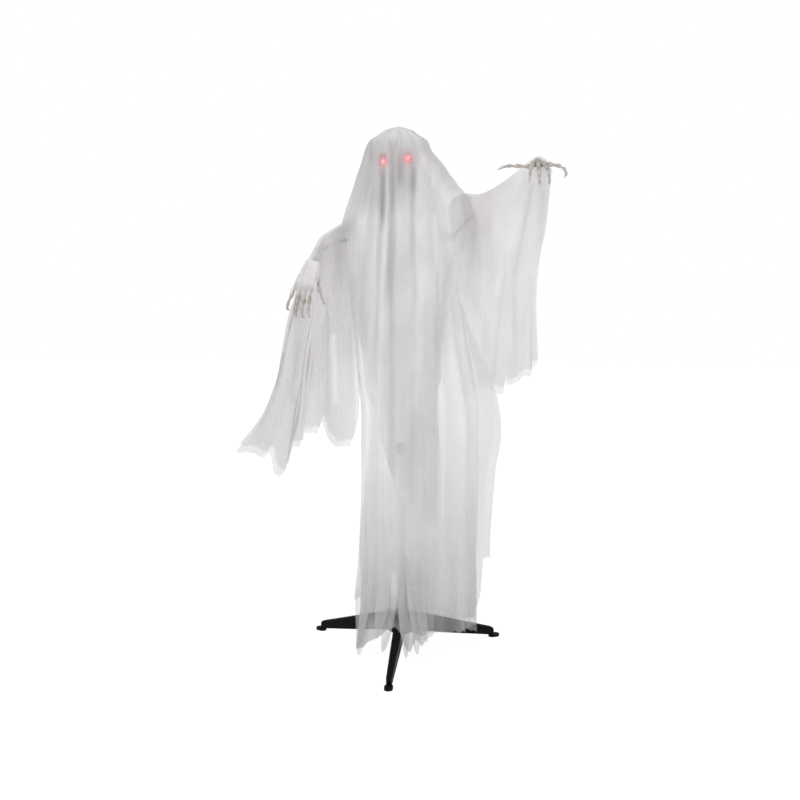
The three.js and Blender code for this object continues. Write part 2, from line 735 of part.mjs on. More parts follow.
// Half the angle that a tooth takes up at a radius, by the involute of its base circle.
function toothHalfAngle(teeth, radius) {
  const pitch = (gearModule * teeth) / 2;
  const pressure = degToRad(pressureAngle);
  const base = pitch * Math.cos(pressure);
  const here = Math.acos(Math.min(1, base / Math.max(radius, base)));
  return Math.PI / (2 * teeth) - backlash / (2 * pitch) + involute(pressure) - involute(here);
}

// The outline of one tooth about an angle, from its left root to its right root.
function toothPoints(teeth, angle) {
  const pitch = (gearModule * teeth) / 2;
  const root = pitch - 1.1 * gearModule;
  const tip = pitch + 0.8 * gearModule;
  const radii = [root, lerp(root, tip, 0.5), tip];
  const flank = (radius, side) => {
    const at = angle + side * toothHalfAngle(teeth, radius);
    return [radius * Math.cos(at), radius * Math.sin(at)];
  };
  return [...radii.map((radius) => flank(radius, -1)), ...radii.reverse().map((radius) => flank(radius, 1))];
}

function sectorGeometry() {
  const step = (2 * Math.PI) / sectorTeeth;
  const half = Math.floor(degToRad(sectorSpread) / step);
  const outline = [];
  for (let i = -half; i <= half; i += 1) outline.push(...toothPoints(sectorTeeth, i * step));
  const hubArc = neckRadius + 6;
  const opening = (half + 0.6) * step;
  for (let i = 0; i <= 10; i += 1) {
    const angle = lerp(opening, 2 * Math.PI - opening, i / 10);
    outline.push([hubArc * Math.cos(angle), hubArc * Math.sin(angle)]);
  }
  const web = plate(outline, gearThickness, [[0, 0, neckRadius + seatGap, 16]]);
  const boss = turned([
    [neckRadius + seatGap, 0], [neckRadius + 5, 0], [neckRadius + 5, gearThickness + 12],
    [neckRadius + seatGap, gearThickness + 12],
  ], 16);
  const setHole = bar('x', wristScrewRadius + seatGap, 0, neckRadius + 8, 0, gearThickness + 6, 10);
  return cut(join(web, boss), setHole).translate(0, 0, gearBottom);
}

function pinionGeometry() {
  const outline = [];
  for (let i = 0; i < pinionTeeth; i += 1) {
    const angle = Math.PI + (2 * Math.PI * (i + 0.5)) / pinionTeeth;
    outline.push(...toothPoints(pinionTeeth, angle));
  }
  return plate(outline, gearThickness, [[0, 0, motorShaftRadius + seatGap, 12]])
    .translate(motorX, 0, gearBottom);
}

function motorGeometry() {
  const top = shelfBottom - seatGap;
  const gearcase = bar('z', 16, top - 20, top, motorX, 0, 14);
  const can = bar('z', 12, top - 52, top - 19, motorX, 0, 12);
  const tail = bar('z', 4, top - 56, top - 51, motorX, 0, 8);
  const bore = bar('z', motorShaftRadius + seatGap, top - 16, top + 1, motorX, 0, 12);
  return cut(join(gearcase, can, tail), bore);
}

add('gear_motor', motorGeometry(), steel);
add('motor_shaft', bar(
  'z', motorShaftRadius, shelfBottom - 16, gearBottom + gearThickness + 3, motorX, 0, 12,
), steel);
add('motor_pinion', pinionGeometry(), nylon);
add('neck_sector_gear', sectorGeometry(), nylon);
add('sector_set_screw', bar('x', wristScrewRadius, neckRadius + seatGap, neckRadius + 7, 0,
  gearBottom + gearThickness + 6, 10), steel);

const neckPivotHeight = torsoTop + collarHeight + neckRise;
const neckTop = neckPivotHeight - 6;
add('neck_shaft', turned([
  [neckBore, shelfBottom + 0.5], [journalRadius, shelfBottom + 0.5], [journalRadius, shelfTop + seatGap],
  [neckRadius, shelfTop + seatGap], [neckRadius, neckTop], [neckBore, neckTop],
], 16), steel);
add('neck_bush', turned([
  [neckRadius + seatGap, torsoTop - 5], [neckRadius + 4, torsoTop - 5],
  [neckRadius + 4, torsoTop + collarHeight + seatGap], [neckRadius + 9, torsoTop + collarHeight + seatGap],
  [neckRadius + 9, torsoTop + collarHeight + 3], [neckRadius + seatGap, torsoTop + collarHeight + 3],
], 16), nylon);

// Head: a hollow skull of two halves, leaning on a plate that turns with the neck shaft

const head = new THREE.Group();
head.position.set(0, 0, neckPivotHeight);
head.rotation.y = degToRad(headTilt);
figure.add(head);

// Shares of the skull's half width, and of its depth to the front and to the back, by share of height
const skullSideShare = profile([
  [0, 0.35], [0.1, 0.54], [0.21, 0.66], [0.33, 0.82], [0.45, 0.92], [0.59, 1], [0.72, 1], [0.84, 0.85],
  [0.93, 0.59], [0.98, 0.31], [1, 0],
]);
const skullFrontShare = profile([
  [0, -0.37], [0.1, -0.42], [0.33, -0.44], [0.45, -0.44], [0.57, -0.48], [0.72, -0.46], [0.84, -0.36],
  [0.93, -0.23], [0.98, -0.1], [1, 0.02],
]);
const skullBackShare = profile([
  [0, -0.07], [0.1, 0.17], [0.21, 0.35], [0.33, 0.46], [0.45, 0.52], [0.59, 0.54], [0.72, 0.53],
  [0.84, 0.44], [0.93, 0.29], [0.98, 0.15], [1, 0.02],
]);

// Pits and rises of the face: across, up, half width, half height and depth of each. The ones
// beside the middle are on both sides.
const faceMarks = {
  noseHole: [0, 68, 9, 15, 13],
  noseBridge: [0, 90, 7, 10, -5],
  mouth: [0, 36, 26, 4, 5],
  eyeSocket: [eyeX - 2, eyeHeight - 4, 17, 15, 19],
  cheekbone: [50, 70, 12, 9, -7],
  hollowCheek: [46, 44, 10, 14, 9],
  brow: [eyeX, eyeHeight + 22, 22, 6, -3],
};

// How far the face is pressed in, for a place x across and z up on its front.
function faceRelief(x, z) {
  const pressed = ([across, up, wide, tall, depth]) =>
    depth * Math.exp(-(((Math.abs(x) - across) / wide) ** 2) - ((z - up) / tall) ** 2);
  return Object.values(faceMarks).reduce((sum, mark) => sum + pressed(mark), 0);
}

// The skull's form; drawn in by an inset it is the plain hollow behind the face.
function skullForm(inset, around, rows) {
  const bottom = inset;
  const top = skullHeight - inset;
  const rings = [];
  for (let r = 0; r <= rows; r += 1) {
    const z = lerp(bottom, top - 0.6, 1 - (1 - r / rows) ** 1.15);
    const share = (z - bottom) / (top - bottom);
    const half = Math.max(1.5, (skullWidth / 2) * skullSideShare(share) - inset);
    const front = skullDepth * skullFrontShare(share) + (inset > 0 ? faceDepth : 0);
    const back = Math.max(front + 3, skullDepth * skullBackShare(share) - inset);
    rings.push(Array.from({ length: around }, (_, i) => {
      const angle = (2 * Math.PI * i) / around;
      const x = half * Math.cos(angle);
      const reach = (back - front) / 2;
      const y = (front + back) / 2 + reach * Math.sin(angle);
      const facing = smoothstep(-Math.sin(angle), 0.1, 0.6);
      return vec(x, inset > 0 ? y : y + facing * faceRelief(x, z), z);
    }));
  }
  return skinned(rings);
}

function skullShell() {
  const hollow = cut(
    skullForm(0, 24, 16), skullForm(skullWall, 12, 7),
    bar('z', neckHoleRadius + seatGap, -20, 46, 0, 0, 18),
  );
  const eyeHoles = [-eyeX, eyeX].map((x) => bar(
    'y', eyeRadius + seatGap, -0.6 * skullDepth, -0.7 * eyeLampDepth, x, eyeHeight, 8,
  ));
  return cut(hollow, ...eyeHoles);
}

const shell = skullShell();
const farAway = 200;
add('skull_face', common(shell, block(
  -farAway, farAway, -farAway, skullSplit - seatGap / 2, -farAway, farAway,
)), bone, head);
add('skull_back', common(shell, block(
  -farAway, farAway, skullSplit + seatGap / 2, farAway, -farAway, farAway,
)), bone, head);
[['right', -1], ['left', 1]].forEach(([side, sign]) => {
  const lamp = turned([
    [0, 0], [eyeRadius, 0], [eyeRadius, 18], [eyeRadius * 0.8, 20.5], [eyeRadius * 0.4, 22], [0, 22.4],
  ], 8).rotateX(Math.PI / 2).translate(sign * eyeX, -eyeLampDepth, eyeHeight);
  add(`${side}_eye_lamp`, lamp, redLens, head);
});

function neckPlateGeometry() {
  const disc = turned([
    [0, 16], [neckHoleRadius - 3, 16], [neckHoleRadius, 18], [neckHoleRadius, 40], [neckHoleRadius - 3, 40],
    [neckHoleRadius - 3, 22], [0, 22],
  ], 18);
  const tilted = toSolid(disc);
  const upright = new THREE.Matrix4().makeRotationY(degToRad(-headTilt));
  const collar = bar('z', neckRadius + 5, -26, 19, 0, 0, 16).applyMatrix4(upright);
  const bore = bar('z', neckRadius + seatGap, -27, -6 + seatGap, 0, 0, 16).applyMatrix4(upright);
  return toGeometry(tilted.add(toSolid(collar)).subtract(toSolid(bore)));
}

add('neck_plate', neckPlateGeometry(), housing, head);

// Shoulders

add('shoulder_bar', turned([
  [barRadius - barWall, -shoulderX + 18], [barRadius, -shoulderX + 18],
  [barRadius, shoulderX - 18], [barRadius - barWall, shoulderX - 18],
], 12).rotateY(Math.PI / 2).translate(0, shoulderY, shoulderZ), steel);

const earInner = armEyeThickness / 2 + seatGap;

// A clevis on the bar's end, made for the +X side about the shoulder pivot at the origin.
function bracketGeometry() {
  const socketStart = -18 - bracketSocketLength;
  const socket = bar('x', barRadius + 4, socketStart, -13, 0, 0, 12);
  const ear = (y) => join(
    bar('y', earRadius, y, y + earThickness, 0, 0, 12),
    block(-18, 0, y, y + earThickness, -earRadius, earRadius),
  );
  const back = block(-18, -13, -earInner - earThickness, earInner + earThickness, -earRadius, earRadius);
  const solid = join(socket, ear(earInner), ear(-earInner - earThickness), back);
  return cut(
    solid,
    bar('x', barRadius + seatGap, socketStart - 1, -18 + seatGap, 0, 0, 16),
    bar('y', boltRadius + seatGap, -30, 30, 0, 0, 10),
  );
}

function boltGeometry() {
  const reach = earInner + earThickness;
  return turned([
    [0, -reach - 4], [5, -reach - 4], [6, -reach - 2.5], [6, -reach - seatGap],
    [boltRadius, -reach - seatGap], [boltRadius, reach + 8], [0, reach + 8],
  ], 10).rotateX(-Math.PI / 2);
}

function nutGeometry() {
  const start = earInner + earThickness + seatGap;
  return cut(bar('y', 6, start, start + 5, 0, 0, 6), bar('y', boltRadius + seatGap, 0, 30, 0, 0, 10));
}

// Arms: a bent rod from the shoulder eye to the wrist

// The fingers of each hand from the first to the last: where each starts across the palm, its spread
// and its bends in degrees, and its size. The raised hand is open, and the lowered one hangs down.
const openHand = {
  fingers: [
    { across: 24, spread: 13, scale: 0.92, curl: [4, 18, 24, 34] },
    { across: 8, spread: 4, scale: 1, curl: [8, 22, 28, 38] },
    { across: -8, spread: -6, scale: 0.96, curl: [6, 26, 26, 40] },
    { across: -24, spread: -38, scale: 0.85, curl: [0, 14, 42, 66] },
  ],
  thumb: { spread: 78, scale: 0.95, curl: [-6, 2, 10, 16] },
};
const hangingHand = {
  fingers: [
    { across: 24, spread: 8, scale: 0.92, curl: [2, 12, 18, 34] },
    { across: 8, spread: 3, scale: 1, curl: [4, 10, 24, 38] },
    { across: -8, spread: -3, scale: 1.02, curl: [6, 14, 14, 28] },
    { across: -24, spread: -14, scale: 0.95, curl: [4, 10, 26, 46] },
  ],
  thumb: { spread: 30, scale: 0.8, curl: [8, 10, 16, 28] },
};

const arms = {
  left: {
    sign: 1,
    points: [
      vec(7, 0, 6), vec(20, 0, 18), vec(48, -12, 48), vec(88, -42, 92), vec(150, -92, 143),
      vec(205, -140, 178), vec(228, -160, 193), vec(251, -180, 208),
    ],
    direction: vec(0.12, -0.93, -0.22),
    backOfHand: vec(0, -0.2, 1),
    thumbSide: -1,
    hand: openHand,
  },
  right: {
    sign: -1,
    points: [
      vec(-7, 0, -3), vec(-20, 0, -7), vec(-42, -20, -14), vec(-61, -64, -23), vec(-72, -120, -40),
      vec(-78, -176, -62), vec(-80, -200, -72), vec(-82, -224, -82),
    ],
    direction: vec(-0.3, -0.2, -0.92),
    backOfHand: vec(-0.25, -0.9, 0.35),
    thumbSide: 1,
    hand: hangingHand,
  },
};

const armCurve = (points) => new THREE.CatmullRomCurve3(points);

function armRodGeometry({ points }) {
  const section = new THREE.Shape(circlePoints(armRodRadius, 8));
  const rod = new THREE.ExtrudeGeometry(section, {
    steps: 12, extrudePath: armCurve(points), bevelEnabled: false,
  });
  const eye = bar('y', 11, -armEyeThickness / 2, armEyeThickness / 2, 0, 0, 12);
  return cut(join(rod, eye), bar('y', boltRadius + seatGap, -20, 20, 0, 0, 10));
}

// Lengths of the bones of one finger, and its radius at each joint and between them
const boneLengths = [38, 26, 17, 20];
const boneRadii = [5.2, 6.4, 3.9, 5.4, 3.5, 4.6, 3.3, 3.7, 2.6, 0.7];

// One chain of bones in the hand's own frame: +X to the fingertips, +Z out of its back.
function fingerGeometry(start, knuckle, spread, curl, scale) {
  const points = [start, knuckle];
  const heading = degToRad(spread);
  let bend = 0;
  let joint = knuckle;
  boneLengths.forEach((length, i) => {
    bend += degToRad(curl[i]);
    const along = vec(
      Math.cos(bend) * Math.cos(heading), Math.cos(bend) * Math.sin(heading), -Math.sin(bend),
    );
    points.push(joint.clone().addScaledVector(along, (length * scale) / 2));
    joint = joint.clone().addScaledVector(along, length * scale);
    points.push(joint);
  });
  return taperedTube(points, boneRadii);
}

function handGeometry({ thumbSide, hand }, bend) {
  const fingers = hand.fingers.map(({ across, spread, scale, curl }) => fingerGeometry(
    vec(6, thumbSide * across * 0.35, 0),
    vec(knuckleReach * (0.9 + 0.1 * scale), thumbSide * across, 2),
    thumbSide * spread, curl, scale,
  ));
  const thumb = fingerGeometry(
    vec(8, thumbSide * 8, -4), vec(32, thumbSide * 27, -8), thumbSide * hand.thumb.spread,
    hand.thumb.curl, hand.thumb.scale,
  );
  const palmRing = (x, half, thick) => roundedRectangle(2 * half, thick, thick / 2.2, 2)
    .map(([y, z]) => vec(x, y, z - 2));
  const palm = skinned([palmRing(-4, 11, 15), palmRing(22, 20, 13), palmRing(56, 28, 9)]);
  const wrist = join(
    bar('x', wristRadius, -wristSocketDepth, 0, 0, 0, 12), new THREE.SphereGeometry(wristRadius, 8, 5),
  );
  const bent = [palm, ...fingers, thumb].map((piece) => piece.applyMatrix4(bend));
  return cut(
    join(wrist, ...bent),
    bar('x', armRodRadius + seatGap, -wristSocketDepth - 1, seatGap, 0, 0, 12),
    bar('z', wristScrewRadius + seatGap, 0, 30, -wristSocketDepth / 2, 0, 8),
  );
}

// A frame whose X runs along one direction and whose Z leans towards another.
function basisAlong(direction, lean) {
  const x = direction.clone().normalize();
  const y = lean.clone().cross(x).normalize();
  return new THREE.Matrix4().makeBasis(x, y, x.clone().cross(y));
}

const shoulderOf = ({ sign }) => vec(sign * shoulderX, shoulderY, shoulderZ);

Object.entries(arms).forEach(([side, arm]) => {
  const shoulder = new THREE.Group();
  shoulder.position.copy(shoulderOf(arm));
  figure.add(shoulder);
  const turn = arm.sign > 0 ? 0 : Math.PI;
  add(`${side}_shoulder_bracket`, bracketGeometry().rotateZ(turn), steel, shoulder);
  add(`${side}_shoulder_bolt`, boltGeometry(), steel, shoulder);
  add(`${side}_shoulder_nut`, nutGeometry(), steel, shoulder);
  add(`${side}_arm_rod`, armRodGeometry(arm), steel, shoulder);
  const [before, wrist] = arm.points.slice(-2);
  const hand = new THREE.Group();
  hand.position.copy(wrist);
  shoulder.add(hand);
  // The wrist socket follows the rod, and the hand bends from it to its own direction.
  const along = wrist.clone().sub(before).normalize();
  const socketFrame = basisAlong(along, arm.backOfHand);
  hand.setRotationFromMatrix(socketFrame);
  const bend = basisAlong(arm.direction, arm.backOfHand).premultiply(socketFrame.clone().invert());
  add(`${side}_hand`, handGeometry(arm, bend), bone, hand);
  const screw = screwGeometry(wristScrewRadius, wristRadius - armRodRadius + 1, 3.6, 2).rotateX(Math.PI)
    .translate(-wristSocketDepth / 2, 0, wristRadius + 3 + seatGap);
  add(`${side}_wrist_screw`, screw, steel, hand);
});

// Cloth: gauze that hangs from the neck collar, the arms and the crown of the skull

const clothSeat = clothGap + clothThickness / 2; // from what carries a cloth to its middle
const boxy = (value, power) => Math.sign(value) * Math.abs(value) ** power;

// Robe: its middle across, half width, reach to the front and to the back, by share of its height
const robeNeck = torsoTop + collarHeight - 6;
const robeShoulder = torsoTop + 2;
const robeShoulderShare = 0.14; // the part of the robe's rows that lies on the shoulders
const robeShape = {
  middle: profile([[0, 1], [0.56, 1], [0.7, 0.69], [0.78, 0.448], [0.85, 0.207], [0.93, 0]], robeSwing),
  half: profile([[0, 1], [0.56, 1], [0.77, 0.93], [0.89, 0.907], [1, 0.86]], robeHalfWidth),
  front: profile([[0, 1], [0.35, 0.939], [0.62, 0.894], [0.85, 0.803], [1, 0.697]], robeReach),
  back: profile([[0, 0.894], [0.46, 0.864], [0.85, 0.758], [1, 0.667]], robeReach),
  foldDepth: profile([[0, 1], [0.35, 0.7], [0.77, 0.5], [0.97, 0.2], [1, 0]], robeFoldDepth),
};
const robeSquareness = 0.62; // 1 is an ellipse, less is boxier
// The torn hem's height at each angle round the robe, from the right side through the front
const robeHem = profile([
  [-180, 1.28], [-168, 0.6], [-161, 0.18], [-150, 0.66], [-136, 1.04], [-122, 0.92], [-112, 0.6],
  [-106, 0.7], [-103, 1.1], [-96, 1.1], [-90, 0.44], [-86, 0.78], [-82, 0.52], [-76, 1.04],
  [-50, 0.96], [-20, 1.06], [0, 1.02], [25, 1.4], [50, 1.12], [80, 1.5], [110, 1.18], [140, 1.46],
  [165, 1.12], [180, 1.28],
], robeHemHeight);

const robeFold = (angle, z) => robeShape.foldDepth(z / robeShoulder)
  * (0.7 * Math.cos(11 * angle + z / 420) + 0.3 * Math.cos(5 * angle + 1.3));

function robeAt(u, v) {
  const angle = 2 * Math.PI * u - Math.PI;
  const across = boxy(Math.cos(angle), robeSquareness);
  const deep = boxy(Math.sin(angle), robeSquareness);
  if (v < robeShoulderShare) {
    const s = v / robeShoulderShare;
    const neck = collarRadius + clothSeat;
    const round = (value, wide) => lerp(neck * value, wide, s);
    const reach = deep < 0 ? robeShape.front(1) : robeShape.back(1);
    return vec(
      round(Math.cos(angle), robeShape.half(1) * across), round(Math.sin(angle), reach * deep),
      lerp(robeNeck, robeShoulder, s ** 1.6),
    );
  }
  const hem = robeHem(THREE.MathUtils.radToDeg(angle));
  const z = lerp(robeShoulder, hem, (v - robeShoulderShare) / (1 - robeShoulderShare));
  const share = z / robeShoulder;
  const fold = robeFold(angle, z);
  const reach = (deep < 0 ? robeShape.front(share) : robeShape.back(share)) + fold;
  return vec(robeShape.middle(share) + (robeShape.half(share) + fold) * across, reach * deep, z);
}

// How far each armhole reaches from the shoulder pivot to every side
const armhole = { inwards: 38, outwards: 70, front: 96, behind: 56, below: 99, above: 65 };

function robeGeometry() {
  const whole = sheet(robeAt, 48, 8, { around: true });
  const opening = (x0, x1) => block(
    x0, x1, shoulderY - armhole.front, shoulderY + armhole.behind,
    shoulderZ - armhole.below, shoulderZ + armhole.above,
  );
  const [inner, outer] = [shoulderX - armhole.inwards, shoulderX + armhole.outwards];
  return cut(whole, opening(inner, outer), opening(-outer, -inner));
}

// Rear drape: a panel behind the robe that leaves it below the shoulders and widens downwards
const drapeTop = robeShoulder - drapeDrop;
const drapeSpread = 62; // half the angle that it covers, about straight back
const drapeWiden = profile([[0, 1], [0.51, 0.913], [0.85, 0.326], [1, 0]], drapeFlare);
const drapeLift = profile([[0, 1], [0.51, 0.867], [0.85, 0.467], [1, 0]], drapeStandOff);
const drapeHem = profile([
  [0, 2.76], [0.12, 2.68], [0.3, 2.24], [0.45, 2.48], [0.62, 1.76], [0.8, 1.9], [1, 1.22],
], robeHemHeight);

function drapeAt(u, v) {
  const angle = degToRad(90 - drapeSpread + 2 * drapeSpread * u);
  const z = lerp(drapeTop, drapeHem(u), v);
  const across = boxy(Math.cos(angle), robeSquareness);
  const deep = boxy(Math.sin(angle), robeSquareness);
  const share = z / robeShoulder;
  const fold = robeFold(angle, z) + v * 6 * Math.cos(9 * Math.PI * u);
  const seat = clothSeat + clothThickness / 2;
  return vec(
    robeShape.middle(share) + (robeShape.half(share) + seat + drapeWiden(z / drapeTop) + fold) * across,
    (robeShape.back(share) + seat + drapeLift(z / drapeTop) + fold) * deep, z,
  );
}

// Veil: laid over the skull, with a long front fall and its right part thrown over the raised arm.
// Its middle and its reach to each side go by the share of its length below its crown.
const skullTop = vec(0, 4, skullHeight).applyEuler(head.rotation).add(head.position);
const veilCrown = skullTop.z + clothSeat;
const veilShape = {
  middle: profile([[0, skullTop.x], [0.0237, -18], [0.1203, -12], [1, -9]], 1, veilLength),
  left: profile([
    [0, 0], [0.0035, 0.16], [0.0132, 0.288], [0.0369, 0.384], [0.0764, 0.464], [0.101, 0.528],
    [0.1378, 0.66], [0.1677, 0.8], [0.194, 0.872], [0.2256, 0.928], [0.2959, 0.976], [0.4276, 1],
  ], veilReach, veilLength),
  right: profile([
    [0, 0], [0.0035, 0.152], [0.0132, 0.256], [0.0369, 0.344], [0.0764, 0.424], [0.1133, 0.48],
    [0.1642, 0.544], [0.2081, 0.6], [0.2423, 0.64], [0.2959, 0.664],
  ], veilReach, veilLength),
  front: profile([
    [0, 0], [0.0035, 0.168], [0.0149, 0.28], [0.0413, 0.368], [0.0764, 0.404], [0.1291, 0.408],
    [0.1817, 0.424], [0.252, 0.488], [0.4276, 0.552], [0.691, 0.624], [0.9982, 0.664],
  ], veilReach, veilLength),
  back: profile([
    [0, 0], [0.0035, 0.184], [0.0149, 0.32], [0.0413, 0.4], [0.0764, 0.432], [0.1291, 0.44],
    [0.2081, 0.44], [0.2608, 0.472], [0.4715, 0.56],
  ], veilReach, veilLength),
  foldDepth: profile([
    [0, 0], [0.0237, 0.125], [0.0939, 0.375], [0.252, 0.625], [0.691, 0.875], [1, 1],
  ], veilFoldDepth, veilLength),
};
// How far below the crown the hem lies at each angle, from the right side through the front
const veilHem = profile([
  [-180, 0.2502], [-150, 0.2801], [-135, 0.4451], [-118, 0.6471], [-95, 0.8314], [-68, 0.9807],
  [-60, 1], [-53, 0.4802], [-40, 0.3661], [-25, 0.2344], [0, 0.1923], [25, 0.2116], [60, 0.4012],
  [90, 0.4715], [130, 0.4188], [158, 0.2783], [180, 0.2502],
], veilLength);
const crownShare = 0.3; // the part of the veil's rows that lies on the crown
const crownDepth = skullHeight / 3; // how far down those rows reach

function veilAt(u, v) {
  const angle = 2 * Math.PI * u - Math.PI;
  // The rows crowd together over the crown, where the veil turns from level to hanging.
  const below = v < crownShare ? crownDepth * (v / crownShare) ** 1.8
    : lerp(crownDepth, veilHem(THREE.MathUtils.radToDeg(angle)), (v - crownShare) / (1 - crownShare));
  const fold = veilShape.foldDepth(below) * (0.7 * Math.cos(10 * angle) + 0.3 * Math.cos(7 * angle + 2));
  const across = Math.cos(angle);
  const deep = Math.sin(angle);
  const wide = (across > 0 ? veilShape.left(below) : veilShape.right(below)) + fold;
  const reach = (deep < 0 ? veilShape.front(below) : veilShape.back(below)) + fold;
  const middle = skullTop.y * (1 - smoothstep(below, 0, 1.4 * crownDepth));
  return vec(veilShape.middle(below) + wide * across, middle + reach * deep, veilCrown - below);
}

// Sleeves: each lies over its arm and hangs down on both sides of it to a torn hem
const sleeveSeat = armRodRadius + clothSeat + seatGap;
const sleeveShapes = {
  left: {
    startShare: 0.17, endShare: 0.9, outwardPower: 1, spread: 14, foldCount: 5,
    ridgeSide: vec(-0.5, -0.87, 0), hemSide: vec(-0.1, -1, 0),
    hemStart: vec(230, -90, 0), hemEnd: vec(410, -118, 0),
    hemDrop: profile([
      [0, 0.994], [0.08, 1], [0.26, 0.945], [0.39, 0.964], [0.46, 0.956], [0.5, 0.905], [0.63, 0.893],
      [0.88, 0.842], [0.9, 0.792], [1, 0.783],
    ], leftSleeveDrop),
  },
  right: {
    startShare: 0.17, endShare: 0.88, outwardPower: 1.5, spread: 12, foldCount: 6,
    ridgeSide: vec(-1, 0.1, 0), hemSide: vec(-0.15, -1, 0),
    hemStart: vec(-158, -64, 0), hemEnd: vec(-464, -112, 0),
    hemDrop: profile([
      [0, 0.874], [0.07, 0.893], [0.14, 0.857], [0.22, 0.771], [0.28, 0.834], [0.37, 0.826],
      [0.42, 0.883], [0.52, 0.874], [0.55, 0.954], [0.6, 1], [0.66, 0.971], [0.69, 0.906],
      [0.78, 0.926], [1, 0.88],
    ], rightSleeveDrop),
  },
};
const sleeveRidgeShare = 2 / 9; // the part of a sleeve's width that lies round the rod
const sleeveWrap = degToRad(78); // how far round the rod it lies, to either side of its top
const rearHemLift = 14; // how much higher a sleeve ends behind

function sleeveAt(arm, shape, u, v) {
  const route = armCurve(arm.points);
  const reached = lerp(shape.startShare, shape.endShare, v);
  const place = route.getPointAt(reached);
  const along = route.getTangentAt(reached);
  const ridge = place.add(shoulderOf(arm));
  const side = vec(0, 0, 1).cross(along).normalize();
  if (side.dot(shape.ridgeSide) < 0) side.negate();
  const up = along.clone().cross(side).normalize();
  if (up.z < 0) up.negate();
  const across = 2 * u - 1; // -1 at the front hem, 0 on the ridge, 1 at the rear hem
  const turn = -Math.min(Math.max(across / sleeveRidgeShare, -1), 1) * sleeveWrap;
  const lying = ridge.clone().addScaledVector(side, Math.sin(turn) * sleeveSeat)
    .addScaledVector(up, Math.cos(turn) * sleeveSeat);
  if (Math.abs(across) <= sleeveRidgeShare) return lying;
  const drop = (Math.abs(across) - sleeveRidgeShare) / (1 - sleeveRidgeShare);
  const front = -Math.sign(across);
  const hemZ = shoulderZ - shape.hemDrop(v) + (front > 0 ? 0 : rearHemLift);
  const hem = shape.hemStart.clone().lerp(shape.hemEnd, v);
  const out = drop ** shape.outwardPower;
  const facing = side.clone().lerp(shape.hemSide, drop).normalize();
  const wave = Math.cos(2 * Math.PI * shape.foldCount * v + (front > 0 ? 0 : 0.6));
  const off = front * shape.spread * drop + sleeveFoldDepth * wave * drop ** 0.8;
  return vec(
    lerp(lying.x, hem.x, out) + facing.x * off, lerp(lying.y, hem.y, out) + facing.y * off,
    lerp(lying.z, hemZ, drop),
  );
}

const sleeveGeometry = (arm, shape) => sheet((u, v) => sleeveAt(arm, shape, u, v), 18, 13);

add('robe', robeGeometry(), gauze);
add('rear_drape', sheet(drapeAt, 14, 6), gauze);
add('head_veil', sheet(veilAt, 36, 11, { around: true, crown: true }), gauze);
add('left_sleeve', sleeveGeometry(arms.left, sleeveShapes.left), gauze);
add('right_sleeve', sleeveGeometry(arms.right, sleeveShapes.right), gauze);

// The stand reaches further to the front than to the back, so the pole stands behind the origin.
const frontReach = footRadius + padLength / 2;
const rearReach = frontReach * Math.cos(Math.PI / legCount) + (padWidth / 2) * Math.sin(Math.PI / legCount);
figure.position.y = (frontReach - rearReach) / 2;

const ghost = new THREE.Group();
ghost.add(figure);

export default ghost;
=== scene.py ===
from math import cos, pi, radians, sin, tau

import bpy
import numpy as np
from mathutils import Matrix, Vector


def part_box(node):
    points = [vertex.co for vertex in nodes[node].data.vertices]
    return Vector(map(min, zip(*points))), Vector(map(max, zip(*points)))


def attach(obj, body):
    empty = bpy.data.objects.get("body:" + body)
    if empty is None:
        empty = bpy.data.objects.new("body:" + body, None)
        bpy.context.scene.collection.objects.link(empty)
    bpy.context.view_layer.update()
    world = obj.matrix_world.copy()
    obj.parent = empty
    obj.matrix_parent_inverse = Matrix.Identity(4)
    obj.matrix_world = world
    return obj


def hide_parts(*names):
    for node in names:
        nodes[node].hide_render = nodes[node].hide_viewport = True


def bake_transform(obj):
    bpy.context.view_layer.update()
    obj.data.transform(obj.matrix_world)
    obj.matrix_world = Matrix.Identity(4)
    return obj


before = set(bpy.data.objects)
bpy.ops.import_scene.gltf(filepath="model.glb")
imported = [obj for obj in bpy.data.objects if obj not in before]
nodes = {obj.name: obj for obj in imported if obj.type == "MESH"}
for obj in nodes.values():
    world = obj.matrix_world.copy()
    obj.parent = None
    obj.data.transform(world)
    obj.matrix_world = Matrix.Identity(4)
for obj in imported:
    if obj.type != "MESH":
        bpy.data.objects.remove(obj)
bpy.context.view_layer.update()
poleLow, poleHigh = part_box("lower_pole")
poleY = (poleLow.y + poleHigh.y) / 2   # the pole stands behind the origin
scene = bpy.context.scene
print("frame loaded:", len(nodes), "nodes")

# Camera: about eye level, a little from the figure's left, looking slightly down

cameraSettings = {
    "away": 3.5, "height": 1.26, "aside": 6.4, "down": 7.7,   # metres from the pole and up, degrees
    "focal": 1165, "middle": 401.3, "image": 800, "sensor": 36,   # the first three in the photograph's pixels
}


def makeCamera(s):
    aside, down = radians(s["aside"]), radians(s["down"])
    data = bpy.data.cameras.new("camera")
    data.sensor_width = s["sensor"]
    data.lens = s["focal"] / s["image"] * s["sensor"]
    data.shift_x = (s["image"] / 2 - s["middle"]) / s["image"]
    camera = bpy.data.objects.new("camera", data)
    scene.collection.objects.link(camera)
    right = Vector((cos(aside), sin(aside), 0))
    ahead = Vector((-sin(aside) * cos(down), cos(aside) * cos(down), -sin(down)))
    turn = Matrix((right, right.cross(ahead), -ahead)).transposed().to_4x4()
    place = Vector((sin(aside) * s["away"], poleY - cos(aside) * s["away"], s["height"]))
    camera.matrix_world = Matrix.Translation(place) @ turn
    scene.camera = camera


makeCamera(cameraSettings)

# Node tools


